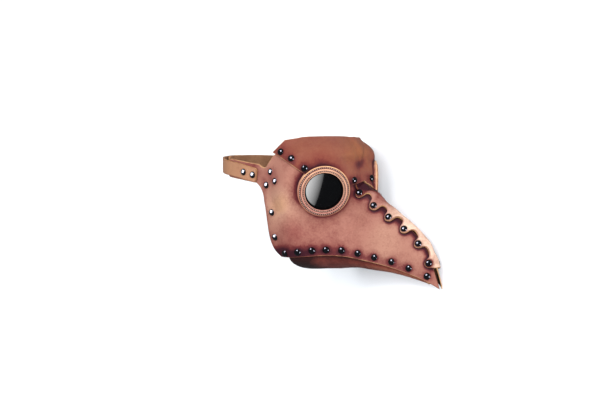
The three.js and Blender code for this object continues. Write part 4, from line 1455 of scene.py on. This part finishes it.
CAP_RADIUS = 4.75
CAP_HEIGHT = 3.1
CAP_LIP = 0.4                 # radius of the rolled edge
DOME_BASE = 0.6               # height at which the dome springs from the edge
CAP_SINK = 0.1                # how far the rear caps press into the leather


def rivet_mesh():
    profile = [(0, 0), (CAP_RADIUS - 0.3, 0)]
    profile += arc_points(CAP_RADIUS - CAP_LIP, CAP_LIP, CAP_LIP, CAP_LIP, -90, 60, 5)
    profile += arc_points(0, DOME_BASE, CAP_RADIUS - CAP_LIP, CAP_HEIGHT - DOME_BASE, 8, 90,
                          13)[:-1]
    profile += [(0, CAP_HEIGHT)]
    return dress(turned_mesh("rivet_cap", profile, 32), rivet_metal)


def all_rivets():
    """A cap for each rivet of the frame, and for those near the rear edges, which have no node."""
    cap = rivet_mesh()
    caps = []
    for name, point, outward in rivets:
        caps.append(add_piece(f"cap_{name}", cap.copy(), "rivet_metal", name,
                              place=placement(point, outward)))
    for side in SIDES:
        rear = seats(f"rivet_rear_{side}", *skin_at(REAR_RIVETS, side), -CAP_SINK)
        for name, point, outward in rear:
            caps.append(add_piece(f"cap_{name}", cap.copy(), "rivet_metal",
                                  place=placement(point, outward)))
    return caps


# Radii and heights above the seat of the eye
RING = {"sight": 26.6, "seat": 27.8, "rim": 35.7, "skirt": 37.0, "back": -6.8, "skirt_top": -4.2,
        "lens_low": 0.6, "lens_high": 4.6}
RING_OUT = {"right": 0.0, "left": 1.5}
OUTER_STITCHES = {"radius": 33.3, "height": 5.1, "count": 76, "length": 1.25, "thickness": 0.7}
INNER_STITCHES = {"radius": 28.8, "height": 6.1, "count": 68, "length": 1.15, "thickness": 0.58}
STITCH_SLANT = 0.12
STITCH_DIP = 0.35             # how far the ends of a stitch go down


def ring_mesh(side):
    """The stitched ring: a low flange, a sewn groove, a raised roll and a sewn inner lip."""
    outer = OUTER_STITCHES["radius"]
    inner = INNER_STITCHES["radius"]
    profile = [(RING["sight"], RING["back"]), (RING["skirt"], RING["back"]),
               (RING["skirt"], RING["skirt_top"]), (RING["rim"], RING["skirt_top"]),
               (RING["rim"], 3.9)]
    profile += arc_points(RING["rim"] - 0.8, 4.5, 0.8, 0.8, 0, 90, 5)
    profile += [(34.4, 5.2)]
    profile += arc_points(outer, 5.2, 0.95, 1.1, 0, -180, 7)
    profile += arc_points(30.8, 5.6, 1.5, 1.3, 5, 145, 12)
    profile += arc_points(inner, 6.2, 0.75, 0.9, 0, -180, 6)
    profile += arc_points(27.3, 6.2, 0.7, 0.8, 20, 180, 7)
    profile += [(RING["sight"], RING["lens_high"]), (RING["seat"], RING["lens_high"]),
                (RING["seat"], RING["lens_low"]), (RING["sight"], RING["lens_low"])]
    mesh = turned_mesh(f"eye_ring_{side}", profile, 176, closed=True)
    co = np.array([v.co for v in mesh.vertices])
    radius = np.hypot(co[:, 0], co[:, 1])
    # directions as worn, to place the dye and the painted light and shade round the ring
    worn = co @ np.array(placement((0, 0, 0), eye_axis(side)).to_3x3()).T
    ahead = worn @ np.array([math.sin(EYE_TURN), -HAND[side] * math.cos(EYE_TURN), 0])
    angle = np.arctan2(worn[:, 2], ahead)
    low = 0.5 - 0.5 * np.sin(angle + math.radians(10))
    dye_and_shade = 0.28 * low + 2.4 * glow(radius - outer, 0.85) + 2.0 * glow(radius - inner, 0.65)
    # painted shadow at the foot of the left ring's outer wall
    if side == "left":
        on_wall = (radius > 35) & (co[:, 2] > -4.3)
        dye_and_shade += 1.6 * on_wall * (1 - smooth_step(co[:, 2], -0.5, 1.5))
    # lighter and warmer on top, darker below: painted light and shade; the cut edge darker towards
    # one side: painted shade
    add_fields(mesh, {"dye_and_shade": dye_and_shade, "warmth_and_highlight": 1.2 * (1 - low),
                      "burnish_and_shade": 1.6 * toward(angle, -130, 0.0, 0.7)})
    second_material(mesh, lambda radius, height: radius > 35.0 and height > 0)
    return mesh


def stitch_ring(radius, height, count, length, thickness):
    """Vertices and faces of stitches round a circle: small rounded bars laid end to end."""
    verts = []
    faces = []
    sections = 5
    around = 6
    for k in range(count):
        a = 2 * math.pi * k / count
        centre = np.array([radius * math.cos(a), radius * math.sin(a), height])
        tangent = np.array([-math.sin(a), math.cos(a), 0])
        out = np.array([math.cos(a), math.sin(a), 0])
        slant = unit(tangent + STITCH_SLANT * out)
        base = len(verts)
        for i in range(sections):
            u = -1 + 2 * i / (sections - 1)
            fat = thickness * math.sqrt(max(0.12, 1 - u * u))
            for j in range(around):
                b = 2 * math.pi * j / around
                p = centre + slant * (u * length / 2) + out * (fat * math.cos(b))
                p[2] += fat * math.sin(b) - STITCH_DIP * u * u
                verts.append(tuple(p))
        for i in range(sections - 1):
            for j in range(around):
                n = (j + 1) % around
                a0 = base + i * around
                faces.append((a0 + j, a0 + around + j, a0 + around + n, a0 + n))
        faces.append(tuple(base + j for j in range(around)))
        faces.append(tuple(base + (sections - 1) * around + j for j in reversed(range(around))))
    return verts, faces


def joined(name, mesh, extras):
    """The mesh with loose shells added to it, each with one material number and zero fields."""
    verts = [tuple(v.co) for v in mesh.vertices]
    faces = [tuple(p.vertices) for p in mesh.polygons]
    kinds = [p.material_index for p in mesh.polygons]
    fields = {}
    for layer in mesh.attributes:
        if layer.data_type == "FLOAT" and layer.domain == "POINT":
            fields[layer.name] = [d.value for d in layer.data]
    for (more_verts, more_faces), kind in extras:
        base = len(verts)
        verts.extend(more_verts)
        faces.extend(tuple(base + v for v in f) for f in more_faces)
        kinds.extend([kind] * len(more_faces))
    for values in fields.values():
        values.extend([0.0] * (len(verts) - len(values)))
    return new_mesh(name, verts, faces, kinds, fields)


# The lens bulges from its edge inside a thin black bead
LENS = {"radius": 24.5, "edge_height": 2.6, "rise": 2.2, "bead_from": 24.1}


def lens_mesh(side):
    profile = [(0, 0.9)] + arc_points(25.4, 1.6, 2.1, 0.7, -90, 0, 4)
    profile += arc_points(26.3, 3.1, 0.9, 1.1, 10, 90, 4)
    profile += arc_points(25.8, 3.3, 1.3, 0.9, 90, 180, 6)
    for r in (24.45, 24.3, *np.linspace(23.6, 0.5, 27), 0):
        bulge = LENS["rise"] * (1 - (r / LENS["radius"]) ** 2)
        profile.append((r, LENS["edge_height"] + bulge))
    lens = dress(turned_mesh(f"lens_{side}", profile, 96), lens_tinted, lens_rim)
    second_material(lens, lambda radius, height: radius > LENS["bead_from"])
    return lens


def eye_rings():
    """The rings with their stitches, and the lenses in them, which are returned."""
    lenses = []
    for side in SIDES:
        place = placement(eye_centre(side) + eye_axis(side) * RING_OUT[side], eye_axis(side))
        mesh = joined(f"eye_ring_{side}", ring_mesh(side),
                      [(stitch_ring(**OUTER_STITCHES), 3), (stitch_ring(**INNER_STITCHES), 2)])
        dress(mesh, ring_leather, ring_edge, thread_light, thread_dark)
        add_piece(f"stitched_eye_ring_{side}", mesh, "body_leather", f"eye_ring_{side}",
                  place=place)
        lenses.append(add_piece(f"tinted_lens_{side}", lens_mesh(side), "lens_tinted",
                                f"lens_{side}", place=place))
    return lenses


# The room: camera, floor and lights

CAMERA_TURN = math.radians(52)
CAMERA_RISE = math.radians(3.5)
CAMERA_DISTANCE = 14000.0
MM_PER_PIXEL = 1.35
PICTURE = (600, 400)
BRIDGE_PIXEL = (363, 181)     # where the picture shows the bridge of the nose
SENSOR = 36.0
FLOOR_HALF = 9.0
WORLD_LIGHT = ((0.9, 0.95, 1.0, 1), 0.22)

to_camera = np.array([math.cos(CAMERA_TURN) * math.cos(CAMERA_RISE),
                      -math.sin(CAMERA_TURN) * math.cos(CAMERA_RISE), math.sin(CAMERA_RISE)])
image_right = np.array([math.sin(CAMERA_TURN), math.cos(CAMERA_TURN), 0])
image_up = np.cross(to_camera, image_right)


def lying_point(p):
    return LYING @ Vector(p)


def lying_way(d):
    return (LYING.to_3x3() @ Vector(d)).normalized()


def facing_matrix(location, way, up):
    """Looks from location along the way with its -Z, and has +Y near up."""
    back = -way.normalized()
    right = up.cross(back).normalized()
    top = back.cross(right)
    matrix = Matrix((right, top, back)).transposed().to_4x4()
    matrix.translation = location
    return matrix


def add_camera():
    aim = image_right * ((PICTURE[0] / 2 - BRIDGE_PIXEL[0]) * MM_PER_PIXEL)
    aim = aim - image_up * ((PICTURE[1] / 2 - BRIDGE_PIXEL[1]) * MM_PER_PIXEL)
    data = bpy.data.cameras.new("camera")
    data.sensor_width = SENSOR
    data.lens = SENSOR * CAMERA_DISTANCE / (PICTURE[0] * MM_PER_PIXEL)
    data.clip_end = 100
    camera = new_object("camera", data)
    camera.matrix_world = facing_matrix(lying_point(aim + to_camera * CAMERA_DISTANCE),
                                        lying_way(-to_camera), lying_way(image_up))
    bpy.context.scene.camera = camera


def add_softbox(name, right, up, front, width, height, power, target=(0, -20, -30), roll=0.0,
                fade=1.0, lights_matt=True, lights_shiny=True, only=None, shadows=True):
    """A soft light placed by metres to the image's right, up and towards the camera from its
    target. fade is the brightness at its right-hand edge as a share of that at the left."""
    way = image_right * right + image_up * up + to_camera * front
    data = bpy.data.lights.new(name, "AREA")
    data.shape = "RECTANGLE"
    data.size = width
    data.size_y = height
    data.energy = power
    data.use_shadow = shadows
    if fade != 1.0:
        data.use_nodes = True
        tree = data.node_tree
        emission = tree.nodes["Emission"]
        across = tree.nodes.new("ShaderNodeSeparateXYZ")
        place = tree.nodes.new("ShaderNodeNewGeometry")
        spread = tree.nodes.new("ShaderNodeMapRange")
        tree.links.new(place.outputs["Parametric"], across.inputs[0])
        tree.links.new(across.outputs[0], spread.inputs[0])
        spread.inputs[3].default_value = 1.0
        spread.inputs[4].default_value = fade
        tree.links.new(spread.outputs[0], emission.inputs[1])
    light = new_object(name, data)
    if only:
        lit = bpy.data.collections.new(name + "_lit")
        for piece in only:
            lit.objects.link(piece)
        light.light_linking.receiver_collection = lit
    light.visible_diffuse = lights_matt
    light.visible_glossy = lights_shiny
    location = lying_point(np.array(target) + way * 1000)
    facing = facing_matrix(location, lying_point(target) - location, lying_way(image_up))
    light.matrix_world = facing @ Matrix.Rotation(roll, 4, "Z")


def floor_material():
    n = Nodes("pale_floor")
    place = n.node("ShaderNodeTexCoord").outputs["Object"]
    faint = n.node("ShaderNodeTexNoise", {"Vector": place, "Scale": 1.3, "Detail": 2.0}).outputs[0]
    return n.look({"Base Color": n.mix(faint, rgb(238, 242, 247), rgb(243, 247, 251)),
                   "Roughness": 0.9,
                   "Specular IOR Level": 0.1})


def add_room(caps, lenses):
    mesh = bpy.data.meshes.new("floor")
    corners = ((-1, -1), (1, -1), (1, 1), (-1, 1))
    mesh.from_pydata([(x * FLOOR_HALF, y * FLOOR_HALF, 0) for x, y in corners], [],
                     [(0, 1, 2, 3)])
    dress(mesh, floor_material())
    floor = new_object("floor", mesh)
    floor.visible_glossy = False
    add_softbox("floor_light", 0.6, -0.5, 3.0, 2.6, 2.6, 66, lights_shiny=False, only=[floor],
                shadows=False)
    world = bpy.data.worlds.new("studio")
    world.use_nodes = True
    background = world.node_tree.nodes["Background"]
    for socket, value in zip(background.inputs, WORLD_LIGHT):
        socket.default_value = value
    bpy.context.scene.world = world
    bpy.context.scene.view_settings.view_transform = "Standard"
    add_softbox("key", -1.1, 1.1, 1.9, 0.8, 0.8, 20)
    add_softbox("front", 0.3, 0.3, 2.7, 1.4, 1.4, 73, lights_shiny=False)
    add_softbox("top", 0.4, 2.2, 1.2, 2.0, 2.0, 18, lights_shiny=False)
    add_softbox("overhead", -2.2, 0.3, 0.9, 2.4, 2.4, 38, lights_shiny=False)
    rear_caps = [cap for cap in caps if "strap" in cap.name or "rear" in cap.name]
    add_softbox("rivet_side", -2.6, 0.8, 1.0, 3.2, 3.2, 1100, lights_matt=False, only=rear_caps)
    add_softbox("rivet_light", -1.2, 1.5, 1.5, 1.3, 1.3, 110, lights_matt=False, only=caps)
    add_softbox("rivet_kicker", 1.7, -0.5, 0.9, 0.8, 0.8, 64, lights_matt=False, only=caps)
    add_softbox("lens_card", -0.12, -1.09, 1.68, 1.3, 2.6, 900, target=(-27.6, -51.8, -11),
                roll=math.radians(-20), fade=0.05, lights_matt=False, only=lenses)


add_camera()
for side in SIDES:
    side_panel(side)
    strap(side)
forehead_panel()
ridge_strip()
gusset()
lenses = eye_rings()
caps = all_rivets()
add_room(caps, lenses)
